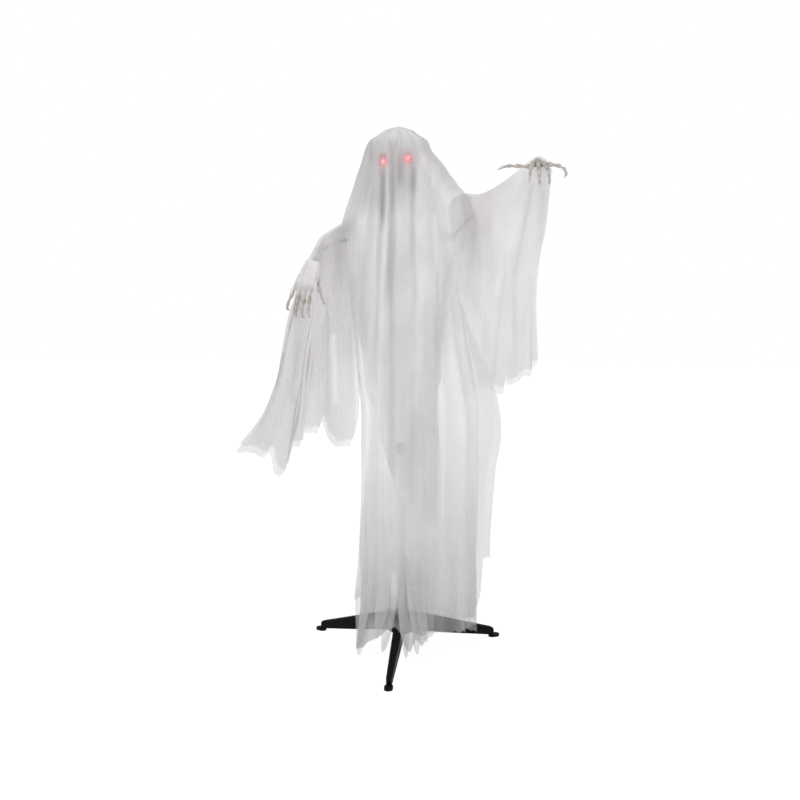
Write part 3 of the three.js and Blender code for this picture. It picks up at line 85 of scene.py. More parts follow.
def feed(tree, socket, value):   # links a socket or sets its value; a colour of three parts is opaque
    if isinstance(value, bpy.types.NodeSocket):
        tree.links.new(value, socket)
    elif socket.type == "RGBA":
        socket.default_value = (*value[:3], 1)
    else:
        socket.default_value = value


def addNode(tree, kind, settings=None, **inputs):   # a node with its properties set and its inputs fed
    node = tree.nodes.new(kind)
    for name, value in (settings or {}).items():
        setattr(node, name, value)
    for name, value in inputs.items():
        key = int(name[1:]) if name[1:].isdigit() else name.replace("_", " ")
        feed(tree, node.inputs[key], value)
    return node


def calculate(tree, operation, a, b=0.0, c=0.0, clamp=False):   # one Math node
    kind = {"operation": operation, "use_clamp": clamp}
    return addNode(tree, "ShaderNodeMath", kind, _0=a, _1=b, _2=c).outputs[0]


def remap(tree, value, low, high, toLow, toHigh):   # a clamped linear range
    span = {"From_Min": low, "From_Max": high, "To_Min": toLow, "To_Max": toHigh}
    return addNode(tree, "ShaderNodeMapRange", None, Value=value, **span).outputs[0]


def scaled(tree, vector, x, y, z=1.0):   # a vector stretched along its axes
    return addNode(tree, "ShaderNodeVectorMath", {"operation": "MULTIPLY"}, _0=vector, _1=(x, y, z)).outputs[0]


def noise(tree, vector, scale, detail=3.0, rough=0.55):
    look = {"Scale": scale, "Detail": detail, "Roughness": rough}
    return addNode(tree, "ShaderNodeTexNoise", None, Vector=vector, **look).outputs["Fac"]


def blendColors(tree, factor, a, b, way="MIX"):
    kind = {"data_type": "RGBA", "blend_type": way}
    return addNode(tree, "ShaderNodeMix", kind, _0=factor, _6=a, _7=b).outputs[2]


def colorRamp(tree, value, stops):   # stops are places and colours, from 0 to 1
    node = addNode(tree, "ShaderNodeValToRGB", None, Fac=value)
    elements = node.color_ramp.elements
    for place, color in stops[1:-1]:
        elements.new(place)
    for element, (place, color) in zip(elements, stops):
        element.color = (*color, 1)
    return node.outputs[0]


def makeGroup(name, inputs, outputs, build):   # an input without a number is a vector, every output a value
    tree = bpy.data.node_groups.new(name, "ShaderNodeTree")
    for socket, value in inputs.items():
        kind = "NodeSocketVector" if value is None else "NodeSocketFloat"
        made = tree.interface.new_socket(socket, in_out="INPUT", socket_type=kind)
        if value is not None:
            made.default_value = value
    for socket in outputs:
        tree.interface.new_socket(socket, in_out="OUTPUT", socket_type="NodeSocketFloat")
    enter, leave = tree.nodes.new("NodeGroupInput"), tree.nodes.new("NodeGroupOutput")
    for socket, value in build(tree, enter.outputs).items():
        tree.links.new(value, leave.inputs[socket])
    return tree


def useGroup(tree, group, **inputs):
    node = tree.nodes.new("ShaderNodeGroup")
    node.node_tree = group
    for name, value in inputs.items():
        feed(tree, node.inputs[name], value)
    return node.outputs


def feedShader(tree, **inputs):   # links or sets inputs of a material's Principled shader
    for key, value in inputs.items():
        feed(tree, tree.nodes["Principled BSDF"].inputs[key.replace("_", " ")], value)


def newMaterial(name, **constants):
    material = bpy.data.materials.new(name)
    material.use_nodes = True
    feedShader(material.node_tree, **constants)
    return material, material.node_tree


def bump(tree, height, distance, strength=1.0):
    node = addNode(tree, "ShaderNodeBump", None, Height=height, Distance=distance, Strength=strength)
    feedShader(tree, Normal=node.outputs[0])


def objectPoint(tree):
    return tree.nodes.new("ShaderNodeTexCoord").outputs["Object"]


def objectHeight(tree):
    return addNode(tree, "ShaderNodeSeparateXYZ", None, Vector=objectPoint(tree)).outputs[2]


def attribute(tree, name):
    return addNode(tree, "ShaderNodeAttribute", {"attribute_name": name}).outputs["Fac"]


# Shared effects


def weaveNodes(tree, given):   # two sets of threads crossing: each is a raised sine across its own direction
    axes = addNode(tree, "ShaderNodeSeparateXYZ", None, Vector=given["Metres"]).outputs
    wander = noise(tree, given["Metres"], 90.0, 2.0)
    heights = []
    for axis, other in ((axes[0], axes[1]), (axes[1], axes[0])):
        turns = calculate(tree, "MULTIPLY", axis, given["Threads"])
        turns = calculate(tree, "MULTIPLY_ADD", wander, 0.9, turns)
        wave = calculate(tree, "SINE", calculate(tree, "MULTIPLY", turns, tau))
        heights.append(calculate(tree, "MULTIPLY_ADD", wave, 0.5, 0.5))
    top = calculate(tree, "MAXIMUM", heights[0], heights[1])
    return {"Cover": remap(tree, top, 0.35, 0.8, 0.0, 1.0), "Height": top}


weave = makeGroup("weave", {"Metres": None, "Threads": 600.0}, ("Cover", "Height"), weaveNodes)


def streakNodes(tree, given):   # long soft bands along the cloth, and strips of thicker cloth with plain edges
    fine = noise(tree, scaled(tree, given["Metres"], 120.0, 4.0), 1.0, 3.0, 0.6)
    broad = noise(tree, scaled(tree, given["Metres"], 16.0, 1.3), 1.0, 2.0, 0.5)
    cloud = noise(tree, given["Metres"], 5.0, 3.0, 0.55)
    strip = noise(tree, scaled(tree, given["Metres"], 12.0, 0.55), 1.0, 1.0, 0.4)
    both = calculate(tree, "MULTIPLY_ADD", fine, 0.06, calculate(tree, "MULTIPLY", broad, 0.94))
    return {"Band": remap(tree, both, 0.32, 0.68, 0.0, 1.0), "Cloud": remap(tree, cloud, 0.3, 0.7, 0.0, 1.0),
            "Fine": fine, "Strip": remap(tree, strip, 0.5, 0.515, 0.0, 1.0)}


streaks = makeGroup("streaks", {"Metres": None}, ("Band", "Cloud", "Fine", "Strip"), streakNodes)


def frayNodes(tree, given):   # 1 inside the cloth, ragged threads in the last millimetres at its edge
    ragged = noise(tree, scaled(tree, given["Metres"], 420.0, 30.0), 1.0, 3.0, 0.7)
    reach = calculate(tree, "MULTIPLY_ADD", ragged, 0.012, -0.004)
    inside = calculate(tree, "SUBTRACT", given["Edge"], reach)
    return {"Whole": remap(tree, inside, -0.002, 0.002, 0.1, 1.0)}


fray = makeGroup("fray", {"Metres": None, "Edge": 1.0}, ("Whole",), frayNodes)


def mottleNodes(tree, given):   # soft uneven blotches and small specks, for moulded and plated surfaces
    blotch = noise(tree, given["Point"], 14.0, 4.0, 0.6)
    speck = noise(tree, given["Point"], 900.0, 2.0, 0.6)
    return {"Blotch": remap(tree, blotch, 0.3, 0.7, 0.0, 1.0), "Speck": speck}


mottle = makeGroup("mottle", {"Point": None}, ("Blotch", "Speck"), mottleNodes)

# Materials


def gauzeMaterial(name, s):   # sheer muslin: its alpha is how much of it is thread
    look = {"Roughness": 0.92, "Sheen_Weight": 0.1, "Sheen_Roughness": 0.6, "Specular_IOR_Level": 0.12}
    material, tree = newMaterial(name, **look)
    metres = tree.nodes.new("ShaderNodeTexCoord").outputs["UV"]
    threads = useGroup(tree, weave, Metres=metres, Threads=560.0)
    bands = useGroup(tree, streaks, Metres=metres)
    whole = useGroup(tree, fray, Metres=metres, Edge=attribute(tree, "edge"))["Whole"]
    low = remap(tree, objectHeight(tree), 0.08, s["darkerThinnerTo"], 1.0, 0.0)   # darker towards the hem as painted shade, and thinner
    thick = s["cover"]
    for value, share in ((bands["Band"], 0.06), (bands["Strip"], 0.07), (bands["Cloud"], 0.05),
                         (attribute(tree, "gather"), 0.06), (attribute(tree, "dense"), s["denser"]),
                         (low, -s["thinner"])):
        thick = calculate(tree, "MULTIPLY_ADD", value, share, thick)
    woven = remap(tree, threads["Cover"], 0.0, 1.0, 0.93, 1.03)
    thick = calculate(tree, "MULTIPLY", thick, woven, clamp=True)
    feedShader(tree, Alpha=calculate(tree, "MULTIPLY", thick, whole, clamp=True))
    fine = calculate(tree, "MULTIPLY", bands["Fine"], 0.1)
    tone = calculate(tree, "MULTIPLY_ADD", bands["Cloud"], 0.9, fine)
    worn = blendColors(tree, remap(tree, tone, 0.25, 0.75, 0.0, 1.0), s["dark"], s["light"])
    # painted shade: the cloth's colour darkens towards the hem
    hem_shaded = blendColors(tree, low, worn, s["hem_shade"])
    # painted shade: the cloth darkens towards its shade tone in valleys, creases and hollows
    shade_amount = calculate(tree, "MULTIPLY", attribute(tree, "valley_shade"), s["shade_in_valleys"], clamp=True)
    cloth = blendColors(tree, shade_amount, hem_shaded, s["shade"])
    bump(tree, calculate(tree, "MULTIPLY_ADD", threads["Height"], 0.12, bands["Band"]), 0.0007, 0.6)
    if "glow" in s:
        glowingCloth(tree, cloth, s)
    else:
        # painted light: a faint glow in the cloth's own colour stands in for the light that comes through the
        # weave
        feedShader(tree, Base_Color=cloth, Emission_Color=cloth, Emission_Strength=s["through"])
    return material


def glowingCloth(tree, cloth, s):   # painted light: lit red from behind where the mesh's glow value says so, as emission and a pink tint of the base colour
    uneven = remap(tree, noise(tree, objectPoint(tree), 170.0, 2.0), 0.35, 0.65, 0.75, 1.15)
    lit = calculate(tree, "MULTIPLY", attribute(tree, "glow"), uneven, clamp=True)
    stops = [(0, (0, 0, 0)), (0.35, (0.14, 0.012, 0.02)), (0.75, (0.45, 0.07, 0.07)), (1, (0.85, 0.30, 0.24))]
    red = colorRamp(tree, lit, stops)
    pink = blendColors(tree, calculate(tree, "MULTIPLY", lit, 1.6, clamp=True), cloth, (0.44, 0.26, 0.27))
    through = scaled(tree, cloth, s["through"], s["through"], s["through"])
    both = blendColors(tree, 1.0, through, red, "ADD")
    feedShader(tree, Base_Color=pink, Emission_Color=both, Emission_Strength=s["glow"])


def mouldedMaterial(name, light, dark, rough, grain, gloss=0.5):   # plastic or rubber with a fine grain
    material, tree = newMaterial(name, Specular_IOR_Level=gloss)
    spots = useGroup(tree, mottle, Point=objectPoint(tree))
    feedShader(tree, Base_Color=blendColors(tree, spots["Blotch"], dark, light),
               Roughness=remap(tree, spots["Blotch"], 0.0, 1.0, rough - 0.08, rough + 0.1))
    bump(tree, spots["Speck"], grain)
    return material


def platedMaterial(name, light, dark, rough):   # zinc plate on steel, brushed along the length
    material, tree = newMaterial(name, Metallic=0.55)
    point = objectPoint(tree)
    spots = useGroup(tree, mottle, Point=point)
    drawn = noise(tree, scaled(tree, point, 900.0, 900.0, 12.0), 1.0, 2.0)
    feedShader(tree, Base_Color=blendColors(tree, spots["Blotch"], dark, light),
               Roughness=calculate(tree, "MULTIPLY_ADD", drawn, 0.22, rough - 0.1))
    bump(tree, drawn, 0.00008)
    return material


def boneMaterial(name, light, dark, crevice):   # painted foam bone: chalky, with a brown wash in its hollows
    material, tree = newMaterial(name, Specular_IOR_Level=0.3)
    point = objectPoint(tree)
    wash = noise(tree, point, 60.0, 5.0, 0.65)
    pits = noise(tree, point, 420.0, 3.0, 0.6)
    worn = blendColors(tree, remap(tree, wash, 0.35, 0.7, 0.0, 1.0), dark, light)
    thinned = remap(tree, wash, 0.3, 0.6, 1.0, 0.55)
    stain = calculate(tree, "MULTIPLY", attribute(tree, "hollow"), thinned, clamp=True)
    feedShader(tree, Base_Color=blendColors(tree, stain, worn, crevice),
               Roughness=remap(tree, wash, 0.3, 0.7, 0.62, 0.82))
    bump(tree, calculate(tree, "MULTIPLY_ADD", wash, 0.8, pits), 0.0006)
    return material


def lampMaterial(name):   # a lit red lens with uneven facets
    material, tree = newMaterial(name, Base_Color=(0.9, 0.05, 0.08), Roughness=0.2, Coat_Weight=0.6)
    facets = noise(tree, objectPoint(tree), 700.0, 2.0)
    red = colorRamp(tree, facets, [(0, (1.0, 0.05, 0.07)), (1, (1.0, 0.42, 0.42))])
    feedShader(tree, Emission_Color=red, Emission_Strength=4.0)
    bump(tree, facets, 0.0002)
    return material


def boardMaterial(name):   # green solder resist with copper-coloured tracks
    material, tree = newMaterial(name, Roughness=0.45)
    colors = {"Color1": (0.02, 0.16, 0.06), "Color2": (0.03, 0.2, 0.08), "Mortar": (0.22, 0.3, 0.1)}
    tracks = addNode(tree, "ShaderNodeTexBrick", None, Vector=scaled(tree, objectPoint(tree), 1.0, 0.0, 1.0),
                     Scale=160.0, Mortar_Size=0.04, **colors)
    feedShader(tree, Base_Color=tracks.outputs["Color"])
    bump(tree, tracks.outputs["Fac"], 0.0002)
    return material


def cellMaterial(name):   # a dry cell's printed sleeve: a copper-coloured band at its top, the rest dark
    material, tree = newMaterial(name, Metallic=0.4)
    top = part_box("battery_1")[1].z
    band = remap(tree, objectHeight(tree), top - 0.014, top - 0.0135, 0.0, 1.0)
    worn = noise(tree, objectPoint(tree), 300.0)
    feedShader(tree, Base_Color=blendColors(tree, band, (0.03, 0.04, 0.06), (0.5, 0.27, 0.12)),
               Roughness=remap(tree, worn, 0.3, 0.7, 0.28, 0.45))
    return material


# light and dark are the clean cloth's tones; the other two are painted shade, its tone at the hem and its tone in
# a valley. The veil, sleeves and drape are the same muslin, set darker than the robe as painted shade
gauzeSettings = {
    "robe": {
        "light": (0.85, 0.833, 0.842), "dark": (0.80, 0.783, 0.793), "hem_shade": (0.41, 0.4, 0.408),
        "shade": (0.48, 0.47, 0.48), "through": 0.05, "shade_in_valleys": 0.3, "cover": 0.42, "denser": 0.35,
        "darkerThinnerTo": 0.72, "thinner": 0.11,
    },
    "veil": {
        "light": (0.63, 0.616, 0.622), "dark": (0.57, 0.557, 0.563), "hem_shade": (0.50, 0.49, 0.495),
        "shade": (0.26, 0.255, 0.26), "through": 0.05, "shade_in_valleys": 0.9, "cover": 0.38, "denser": 0.46,
        "darkerThinnerTo": 0.9, "thinner": 0.04, "glow": 1.0,
    },
    "sleeve": {
        "light": (0.665, 0.646, 0.658), "dark": (0.605, 0.586, 0.598), "hem_shade": (0.46, 0.449, 0.455),
        "shade": (0.40, 0.385, 0.39), "through": 0.11, "shade_in_valleys": 0.6, "cover": 0.47, "denser": 0.3,
        "darkerThinnerTo": 1.1, "thinner": 0.0,
    },
    "drape": {
        "light": (0.70, 0.686, 0.695), "dark": (0.64, 0.627, 0.635), "hem_shade": (0.47, 0.46, 0.468),
        "shade": (0.48, 0.47, 0.48), "through": 0.05, "shade_in_valleys": 0.3, "cover": 0.44, "denser": 0.2,
        "darkerThinnerTo": 0.6, "thinner": 0.06,
    },
}
materials = {
    **{name: gauzeMaterial("gauze_" + name, settings) for name, settings in gauzeSettings.items()},
    "stand": mouldedMaterial("black_plastic", (0.004, 0.004, 0.0042), (0.002, 0.002, 0.0022), 0.5, 0.00012, 0.06),
    "rubber": mouldedMaterial("rubber", (0.006, 0.006, 0.006), (0.003, 0.003, 0.003), 0.62, 0.0003, 0.06),
    "housing": mouldedMaterial("white_plastic", (0.66, 0.65, 0.63), (0.58, 0.57, 0.55), 0.5, 0.0001),
    "nylon": mouldedMaterial("nylon", (0.8, 0.78, 0.7), (0.68, 0.66, 0.6), 0.42, 0.00008),
    "dark": mouldedMaterial("dark_plastic", (0.03, 0.03, 0.034), (0.016, 0.016, 0.018), 0.5, 0.0002),
    "steel": platedMaterial("zinc_plate", (0.78, 0.785, 0.80), (0.68, 0.685, 0.70), 0.36),
    "bone": boneMaterial("bone", (0.57, 0.54, 0.51), (0.31, 0.28, 0.25), (0.07, 0.047, 0.032)),
    "lamp": lampMaterial("red_lens"),
    "board": boardMaterial("circuit_board"),
    "cell": cellMaterial("battery_sleeve"),
}


def materialFor(name):   # which material a CAD node takes
    if name.endswith("_foot_pad"):
        return "rubber"
    if name in ("base_hub", "pole_collar") or name.endswith("_leg"):
        return "stand"
    if name in ("torso_housing", "torso_cover", "battery_door", "neck_plate"):
        return "housing"
    if name in ("motor_pinion", "neck_sector_gear", "neck_bush", "switch_slider"):
        return "nylon"
    if name in ("speaker", "switch_body"):
        return "dark"
    if name.startswith("battery_"):
        return "cell"
    if name == "circuit_board":
        return "board"
    if name.endswith("_eye_lamp"):
        return "lamp"
    if name.startswith("skull_") or name.endswith("_hand"):
        return "bone"
    return "steel"


for name, node in nodes.items():
    node.data.materials.clear()
    node.data.materials.append(materials[materialFor(name)])
print("materials made:", len(materials))

# Surface tools. Cloth is worked out in millimetres about the pole, and made in metres in the frame.


def profile(pairs):   # a smooth curve through [place, value] pairs that never overshoots them
    at, value = (np.array(x, float) for x in zip(*pairs))
    step = np.diff(at)
    slope = np.diff(value) / step
    before, after = slope[:-1], slope[1:]
    same = before * after > 0
    middle = np.where(same, 2 * before * after / np.where(same, before + after, 1), 0)
    tangent = np.concatenate([slope[:1], middle, slope[-1:]])

    def curve(place):
        place = np.clip(place, at[0], at[-1])
        i = np.clip(np.searchsorted(at, place) - 1, 0, len(step) - 1)
        t = (place - at[i]) / step[i]
        return ((2 * t**3 - 3 * t**2 + 1) * value[i] + (t**3 - 2 * t**2 + t) * step[i] * tangent[i]
                + (3 * t**2 - 2 * t**3) * value[i + 1] + (t**3 - t**2) * step[i] * tangent[i + 1])

    return curve


def straight(pairs):   # straight lines through [place, value] pairs, for torn edges
    at, value = zip(*pairs)
    return lambda place: np.interp(place, at, value)


def smooth(value, low, high):
    t = np.clip((value - low) / (high - low), 0, 1)
    return t * t * (3 - 2 * t)


def mix(a, b, t):
    return a + (b - a) * t


def boxy(value, power):
    return np.sign(value) * np.abs(value) ** power


def unit(vectors):
    return vectors / np.linalg.norm(vectors, axis=-1, keepdims=True)


def ripples(points, seed, sizes, count=26):   # a sum of sines in random directions, with a wavelength per axis
    rng = np.random.default_rng(seed)
    total = np.zeros(points.shape[:-1])
    for _ in range(count):
        direction = rng.normal(size=3)
        direction /= np.linalg.norm(direction)
        wave = direction * rng.uniform(0.6, 1.7) / np.array(sizes, float)
        total += np.sin(tau * (points @ wave) + rng.uniform(0, tau))
    return total / np.sqrt(count / 2)


def jags(place, seed, width, depth):   # a torn edge: rounded tongues of random width and depth, with frayed tips
    rng = np.random.default_rng(seed)
    low, high = float(np.min(place)) - 3 * width, float(np.max(place)) + 3 * width
    count = int((high - low) / width * 2.5)
    at = low + np.cumsum(rng.uniform(0.3, 1.6, count) * width)
    deep = rng.uniform(0, 1, count) ** 1.8 * depth
    deep[::2] *= 0.2
    tips = rng.uniform(0, 0.18 * depth, 6 * count)
    return profile(list(zip(at, deep)))(place) + np.interp(place, np.linspace(low, high, 6 * count), tips)


def softFolds(place, down, seed, span, count, width, height, whole=None):   # each drifts on its way down
    rng = np.random.default_rng(seed)
    total = np.zeros(np.broadcast(place, down).shape)
    for _ in range(count):
        at, wide, high = rng.uniform(*span), width * rng.uniform(0.55, 1.7), height * rng.uniform(-0.7, 1)
        lean, phase, length = rng.normal(0, 0.02), rng.uniform(0, tau), rng.uniform(240, 620)
        away = place - at - lean * down - 0.35 * width * np.sin(down / length + phase)
        if whole:
            away = np.mod(away + whole / 2, whole) - whole / 2
        total += high * np.exp(-((away / wide) ** 2)) * (0.7 + 0.3 * np.sin(down / length * 0.8 + 2 * phase))
    return total


def normalsOf(points, wrap=False):   # across the rows and columns of a grid of points
    if wrap:
        across = np.roll(points, -1, axis=1) - np.roll(points, 1, axis=1)
    else:
        across = np.gradient(points, axis=1)
    down = np.gradient(points, axis=0)
    normal = np.cross(across, down)
    return normal / np.maximum(np.linalg.norm(normal, axis=-1, keepdims=True), 1e-9)


def crinkled(points, layers, wrap=False):   # a layer is a seed, its wavelengths across and down, and its height
    height = sum(depth * ripples(points, seed, (across, across, down)) for seed, across, down, depth in layers)
    return points + normalsOf(points, wrap) * height[..., None]


def oval(points, place, size, powers=(2, 2)):   # 1 in the middle of an oval seen from the front, 0 outside it
    x, z = ((points[..., axis] - place[k]) / size[k] for k, axis in enumerate((0, 2)))
    return np.exp(-(x ** powers[0]) - z ** powers[1])


def gatherOf(points, wrap=False):   # how steeply the cloth turns across itself, 1 in a tight pleat
    normal = normalsOf(points, wrap)
    step = np.roll(normal, -1, axis=1) - np.roll(normal, 1, axis=1) if wrap else np.gradient(normal, axis=1) * 2
    width = np.linalg.norm(np.roll(points, -1, axis=1) - points, axis=-1)
    width[:, -1] = width[:, -2]
    turn = np.linalg.norm(step, axis=-1) / np.maximum(2 * width, 0.5)
    for _ in range(3):
        turn[1:-1] = (turn[:-2] + 2 * turn[1:-1] + turn[2:]) / 4
        turn[:, 1:-1] = (turn[:, :-2] + 2 * turn[:, 1:-1] + turn[:, 2:]) / 4
    return np.clip(turn / 0.12, 0, 1)


def runOf(points, axis):   # the length along a grid of points, from its first row or column
    step = np.linalg.norm(np.diff(points, axis=axis), axis=-1)
    return np.concatenate([np.zeros_like(np.take(step, [0], axis)), np.cumsum(step, axis=axis)], axis=axis)


def reliefOf(points, reach, wrap=False):   # how far each point stands out from its row's running mean
    padded = np.pad(points, ((0, 0), (reach, reach), (0, 0)), "wrap" if wrap else "edge")
    total = np.concatenate([np.zeros_like(points[:, :1]), np.cumsum(padded, axis=1)], axis=1)
    mean = (total[:, 2 * reach + 1:] - total[:, :-2 * reach - 1]) / (2 * reach + 1)
    return np.sum((points - mean) * normalsOf(points, wrap), axis=-1)


def foldMarks(points, reach, side=1, wrap=False):   # the pleats, and the valleys between them for painted shade, from 0 to 1
    valley_shade = np.clip(-side * reliefOf(points, reach, wrap) / 5.0, 0, 1)
    return {"gather": gatherOf(points, wrap), "valley_shade": valley_shade}


def gridOf(s, low=0):   # where the columns and the rows of a cloth lie, from low or 0 to 1
    return np.linspace(low, 1, s["columns"])[None, :], np.linspace(0, 1, s["rows"])[:, None]


def quadsOf(grid):   # each cell's four corners, down and then across, of a grid of anything
    return [grid[:-1, :-1], grid[1:, :-1], grid[1:, 1:], grid[:-1, 1:]]


def toFrame(points):   # millimetres about the pole become metres in the frame
    return points / 1000 + np.array([0, poleY, 0])


def newCloth(name, place, polygons, corners, marks, material):   # with a UV in metres and values on its points
    mesh = bpy.data.meshes.new(name)
    mesh.from_pydata(place.tolist(), [], polygons)
    mesh.uv_layers.new(name="metres").data.foreach_set("uv", np.array(corners, np.float32).ravel())
    for key, value in marks.items():
        mesh.attributes.new(key, "FLOAT", "POINT").data.foreach_set("value", value.astype(np.float32))
    mesh.shade_smooth()
    mesh.materials.append(materials[material])
    cloth = bpy.data.objects.new(name, mesh)
    scene.collection.objects.link(cloth)
    print(name, "vertices", len(place), "area", round(sum(p.area for p in mesh.polygons), 4))
    return cloth


def makeSheet(name, points, marks, material, wrap=False, crown=False, keep=None, flip=False):
    rows, columns = points.shape[:2]
    ids = np.arange(rows * columns).reshape(rows, columns)
    if crown:
        ids[0, :] = 0
    left = ids if wrap else ids[:, :-1]
    right = np.roll(ids, -1, axis=1) if wrap else ids[:, 1:]
    faces = np.stack([left[:-1], left[1:], right[1:], right[:-1]], -1)
    # along the row that is longest across, and down each column
    step = np.linalg.norm(np.roll(points, -1, axis=1) - points, axis=-1)
    widest = step[int(np.argmax(step.sum(1)))]
    acrossAt = np.concatenate([[0], np.cumsum(widest)]) / 1000
    downAt = runOf(points, 0) / 1000
    downRight = np.roll(downAt, -1, axis=1) if wrap else downAt[:, 1:]
    downLeft = downAt if wrap else downAt[:, :-1]
    count = left.shape[1]
    u0, u1 = (np.broadcast_to(acrossAt[k:count + k], (rows - 1, count)) for k in (0, 1))
    sides = ((u0, downLeft[:-1]), (u0, downLeft[1:]), (u1, downRight[1:]), (u1, downRight[:-1]))
    uv = np.stack([np.stack(side, -1) for side in sides], -2)
    if flip:
        faces, uv = faces[..., ::-1], uv[..., ::-1, :]
    if keep is not None:
        faces, uv = faces[keep], uv[keep]
    faces, uv = faces.reshape(-1, 4), uv.reshape(-1, 4, 2)
    used, back = np.unique(faces, return_inverse=True)
    polygons, corners = [], []
    for face, corner in zip(back.reshape(-1, 4).tolist(), uv.tolist()):
        kept = [i for i in range(4) if face[i] != face[i - 1]]
        polygons.append([face[i] for i in kept])
        corners.extend(corner[i] for i in kept)
    marks = {key: value.reshape(-1)[used] for key, value in marks.items()}
    return newCloth(name, toFrame(points.reshape(-1, 3)[used]), polygons, corners, marks, material)


def hemEdge(points, sides=False):   # metres from each point down to the hem, or to a side edge that is torn too
    down = np.linalg.norm(np.diff(points, axis=0), axis=-1)
    below = np.concatenate([np.cumsum(down[::-1], axis=0)[::-1], np.zeros((1, points.shape[1]))])
    if sides:
        start = runOf(points, 1)
        below = np.minimum(below, np.minimum(start, start[:, -1:] - start))
    return below / 1000


# Robe: an open wrap from the neck collar to a torn hem, its left panel lying over its right one

robeSettings = {
    "columns": 520, "rows": 150, "neck": 1322, "shoulder": 1292, "neckRadius": 31.4, "shoulderShare": 0.12,
    "squareness": 0.62, "start": -78.6, "turn": 377.5, "overlap": 4.5,
    "middle": [[0, 47], [180, 52], [450, 54], [720, 58], [900, 40], [1000, 26], [1100, 12], [1200, 0]],
    "half": [[0, 172], [180, 166], [450, 168], [720, 172], [1000, 160], [1150, 156], [1292, 148]],
    "front": [[0, 132], [450, 124], [800, 118], [1100, 106], [1292, 92]],
    "back": [[0, 118], [600, 114], [1100, 100], [1292, 88]],
    "fold": [[0, 10], [450, 7], [1000, 5], [1250, 2], [1292, 0]],
    # millimetres in a degree, and the hem's torn tongues: seed, width and depth
    "hemPerDegree": 3.0, "foldPerDegree": 2.9, "tear": (4, 16, 9),
    "drift": (71, (-1330, -220), 26, 34, 8),   # loose folds: seed, span, count, width and height
    "crinkle": [(11, 50, 260, 0.7), (12, 110, 420, 1.8), (13, 22, 70, 0.15)],   # seed, two wavelengths, height
    # the front hem by its place sideways, about the hem's middle and half width, and the rest by its angle
    "hemMiddle": 52, "hemHalf": 166, "sideFrom": -168, "lastPanelFrom": -360, "lastPanelHem": 100,
    "frontHem": [[-126, 12], [-114, 12], [-104, 26], [-96, 38], [-84, 52], [-72, 62], [-59, 70], [-46, 82],
                 [-34, 96], [-24, 104], [-12, 112], [2, 118], [14, 108], [22, 90], [30, 62], [43, 37], [52, 43],
                 [55, 87], [67, 74], [79, 55], [88, 74], [97, 83], [109, 90], [121, 99]],
    "sideHem": [[0, 58], [25, 50], [50, 36], [80, 46], [110, 32], [140, 44], [165, 52], [173, 48], [184, 14],
                [196, 12]],
    "armhole": {"from": 108, "middle": (20, 1268), "size": (42, 48)},
    # doubled cloth over the hub and the pole's collar, and where the front parts below the hub
    "hub": ((4, 245), (40, 62)), "belowCollar": 20, "collarSize": (34, 50), "parting": ((2, 125), (17, 44)),
}


def squareSection(angle, s):   # sideways and front to back on the robe's rounded section, from -1 to 1
    return boxy(np.cos(angle), s["squareness"]), boxy(np.sin(angle), s["squareness"])


def longFolds(size, angle, z):
    return size * (0.7 * np.cos(11 * angle + z / 420) + 0.3 * np.cos(5 * angle + 1.3))


def robeHem(s, turned, angle, across):   # the height of the torn hem
    x = s["hemMiddle"] + s["hemHalf"] * across
    side = straight(s["sideHem"])(np.mod(turned, 360))
    hem = np.where(turned > s["sideFrom"], straight(s["frontHem"])(x), side)
    hem = np.where(turned < s["lastPanelFrom"], s["lastPanelHem"] + 3 * np.sin(x / 17), hem)
    ragged = mix(0.3, 1, smooth(x, -60, -20)) + smooth(np.sin(angle), 0, 0.2)   # plainer along the long tail
    return hem - jags(turned * s["hemPerDegree"], *s["tear"]) * np.clip(ragged, 0, 1) + 3


def robeSurface(s):
    u, v = gridOf(s)
    turned = s["start"] - s["turn"] * u   # clockwise from the outer panel's free edge
    angle = np.radians(turned)
    across, deep = squareSection(angle, s)
    place = {key: profile(s[key]) for key in ("middle", "half", "front", "back", "fold")}
    share, shoulder = s["shoulderShare"], s["shoulder"]
    lying = np.clip(v / share, 0, 1)
    z = mix(shoulder, robeHem(s, turned, angle, across), np.clip((v - share) / (1 - share), 0, 1))
    fold = longFolds(place["fold"](z), angle, z)
    fine = softFolds(turned * s["foldPerDegree"], shoulder - z, *s["drift"]) * smooth(shoulder - z, 20, 420)
    outside = s["overlap"] * (1 - smooth(s["start"] - turned, 12, 60)) * smooth(shoulder - z, 0, 120)
    out = fold + fine + outside
    reach = np.where(deep < 0, place["front"](z), place["back"](z)) + out
    body = np.stack([place["middle"](z) + (place["half"](z) + out) * across, reach * deep, z], -1)
    wide = np.where(deep < 0, place["front"](shoulder), place["back"](shoulder))
    cowl = 2.5 * np.sin(pi * lying) * np.cos(9 * angle)
    top = np.stack([
        mix(s["neckRadius"] * np.cos(angle), place["half"](shoulder) * across, lying),
        mix(s["neckRadius"] * np.sin(angle), wide * deep, lying),
        mix(s["neck"], shoulder, lying ** 1.6) + cowl], -1)
    points = np.where((v < share)[..., None], top, body)
    return mix(points, crinkled(points, s["crinkle"]), (smooth(v, 0.02, 0.2) * np.ones_like(u))[..., None])


